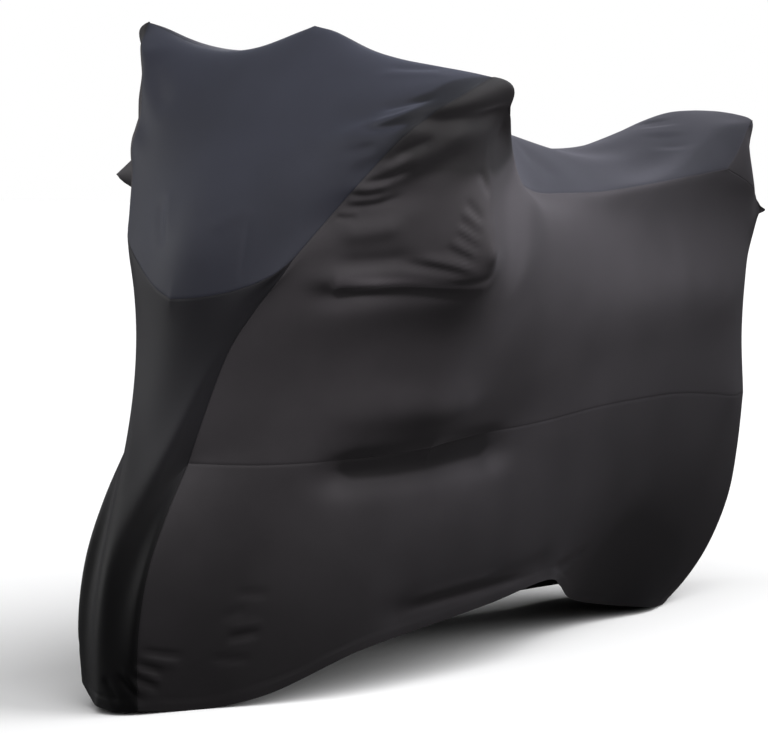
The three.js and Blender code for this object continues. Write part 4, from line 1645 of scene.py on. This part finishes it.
@dataclass
class Studio:
    """A white floor and backdrop, soft lights, and the camera at the photograph's angle."""

    camera_place: tuple[float, float, float] = (4.3067, 3.0338, 0.8712)
    camera_aim: tuple[float, float, float] = (0.1014, -0.1923, 0.5002)
    focal_pixels: float = 2900.0
    image_width: float = 768.0
    sensor_mm: float = 36.0
    floor_size: float = 120.0
    floor_colour: tuple[float, float, float] = (0.90, 0.90, 0.905)
    glow: float = 0.022
    boxes_aim: tuple[float, float, float] = (0.1, 0.0, 0.75)
    boxes: tuple[SoftBox, ...] = (
        SoftBox("low_side_box", (0.9, 2.2, 1.0), 21.0, colour=(1.0, 0.965, 0.97)),
        SoftBox("side_box", (0.4, 1.9, 1.3), 6.0, colour=(1.0, 0.965, 0.97)),
        SoftBox("tank_box", (0.25, 0.75, 1.85), 9.0, 0.6, (0.93, 0.96, 1.0)),
        SoftBox("knee_box", (0.15, 0.7, 1.3), 3.0, 0.4, (0.93, 0.96, 1.0)),
        SoftBox("nose_box", (0.9, 0.6, 1.9), 2.5),
        SoftBox("front_box", (1.9, 1.0, 1.4), 11.0),
        SoftBox("right_front_box", (2.0, -1.0, 1.3), 3.0),
        SoftBox("seat_box", (-1.6, 0.0, 1.7), 0.8),
        SoftBox("back_box", (-1.3, -2.0, 1.5), 9.0),
    )
    rim_lamp: Lamp = Lamp("rim_lamp", -60, 8, 2.0, 40)
    floor_lamps: tuple[Lamp, ...] = (
        Lamp("floor_key_lamp", 127, 36, 3.2, 60),
        Lamp("floor_fill_lamp", 37, 45, 2.9, 70),
    )

    def place_camera(self) -> None:
        """Sets the camera at the photograph's viewing angle."""
        lens = bpy.data.cameras.new("photo_camera")
        lens.sensor_width = self.sensor_mm
        lens.lens = self.focal_pixels * self.sensor_mm / self.image_width
        camera = bpy.data.objects.new("photo_camera", lens)
        place = np.array(self.camera_place)
        away = unit(place - np.array(self.camera_aim))
        right = unit(np.cross((0.0, 0.0, 1.0), away))
        up = np.cross(away, right)
        turn = np.eye(4)
        turn[:3, 0], turn[:3, 1], turn[:3, 2], turn[:3, 3] = right, up, away, place
        camera.matrix_world = Matrix(turn.tolist())
        bpy.context.scene.collection.objects.link(camera)
        bpy.context.scene.camera = camera

    def lay_floor(self) -> bpy.types.Object:
        """Lays the floor, which sends no light back up at the cover.

        Returns:
            The floor.
        """
        bpy.ops.object.select_all(action="DESELECT")
        bpy.ops.mesh.primitive_plane_add(size=self.floor_size)
        floor = bpy.context.object
        floor.name = "pale_floor"
        board = Board("pale_floor")
        floor.data.materials.append(board.finish({
            "Base Color": self.floor_colour + (1.0,),
            "Roughness": 0.9,
            "Specular IOR Level": 0.1,
        }))
        floor.visible_diffuse = False
        floor.visible_glossy = False
        return floor

    @staticmethod
    def keep_to(lights: Sequence[bpy.types.Object], name: str,
                lit: Sequence[bpy.types.Object]) -> None:
        """Lets some lights light only some objects.

        Args:
            lights: The lights.
            name: The name of the group of objects.
            lit: The objects that they light.
        """
        group = bpy.data.collections.new(name)
        for item in lit:
            group.objects.link(item)
        for light in lights:
            light.light_linking.receiver_collection = group

    def surround(self) -> None:
        """Sets the surroundings: white where they are seen, and a faint light on the cover."""
        world = bpy.data.worlds.new("studio")
        bpy.context.scene.world = world
        world.use_nodes = True
        tree = world.node_tree
        tree.nodes.clear()
        path = tree.nodes.new("ShaderNodeLightPath")
        mix = tree.nodes.new("ShaderNodeMixShader")
        output = tree.nodes.new("ShaderNodeOutputWorld")
        for socket, strength in ((1, self.glow), (2, 1.0)):
            white = tree.nodes.new("ShaderNodeBackground")
            white.inputs["Color"].default_value = (1.0, 1.0, 1.0, 1.0)
            white.inputs["Strength"].default_value = strength
            tree.links.new(white.outputs[0], mix.inputs[socket])
        tree.links.new(path.outputs["Is Camera Ray"], mix.inputs[0])
        tree.links.new(mix.outputs[0], output.inputs["Surface"])

    def build(self, cover: Sequence[bpy.types.Object]) -> None:
        """Sets the camera, the floor and the lights around the cover.

        Args:
            cover: The cover's pieces.
        """
        self.place_camera()
        floor = self.lay_floor()
        self.surround()
        boxes = [box.hang(self.boxes_aim) for box in self.boxes]
        self.keep_to([*boxes, self.rim_lamp.hang()], "lit_cover", cover)
        self.keep_to([lamp.hang() for lamp in self.floor_lamps], "lit_floor", [floor])
        bpy.context.scene.view_settings.view_transform = "Standard"


def main() -> None:
    """Builds the studio and the cover."""
    logging.basicConfig(level=logging.INFO, format="%(name)s: %(message)s")
    pieces = Cover().build()
    Studio().build(pieces)
    LOG.info("%d panels made", len(pieces))


if __name__ == "__main__":
    main()
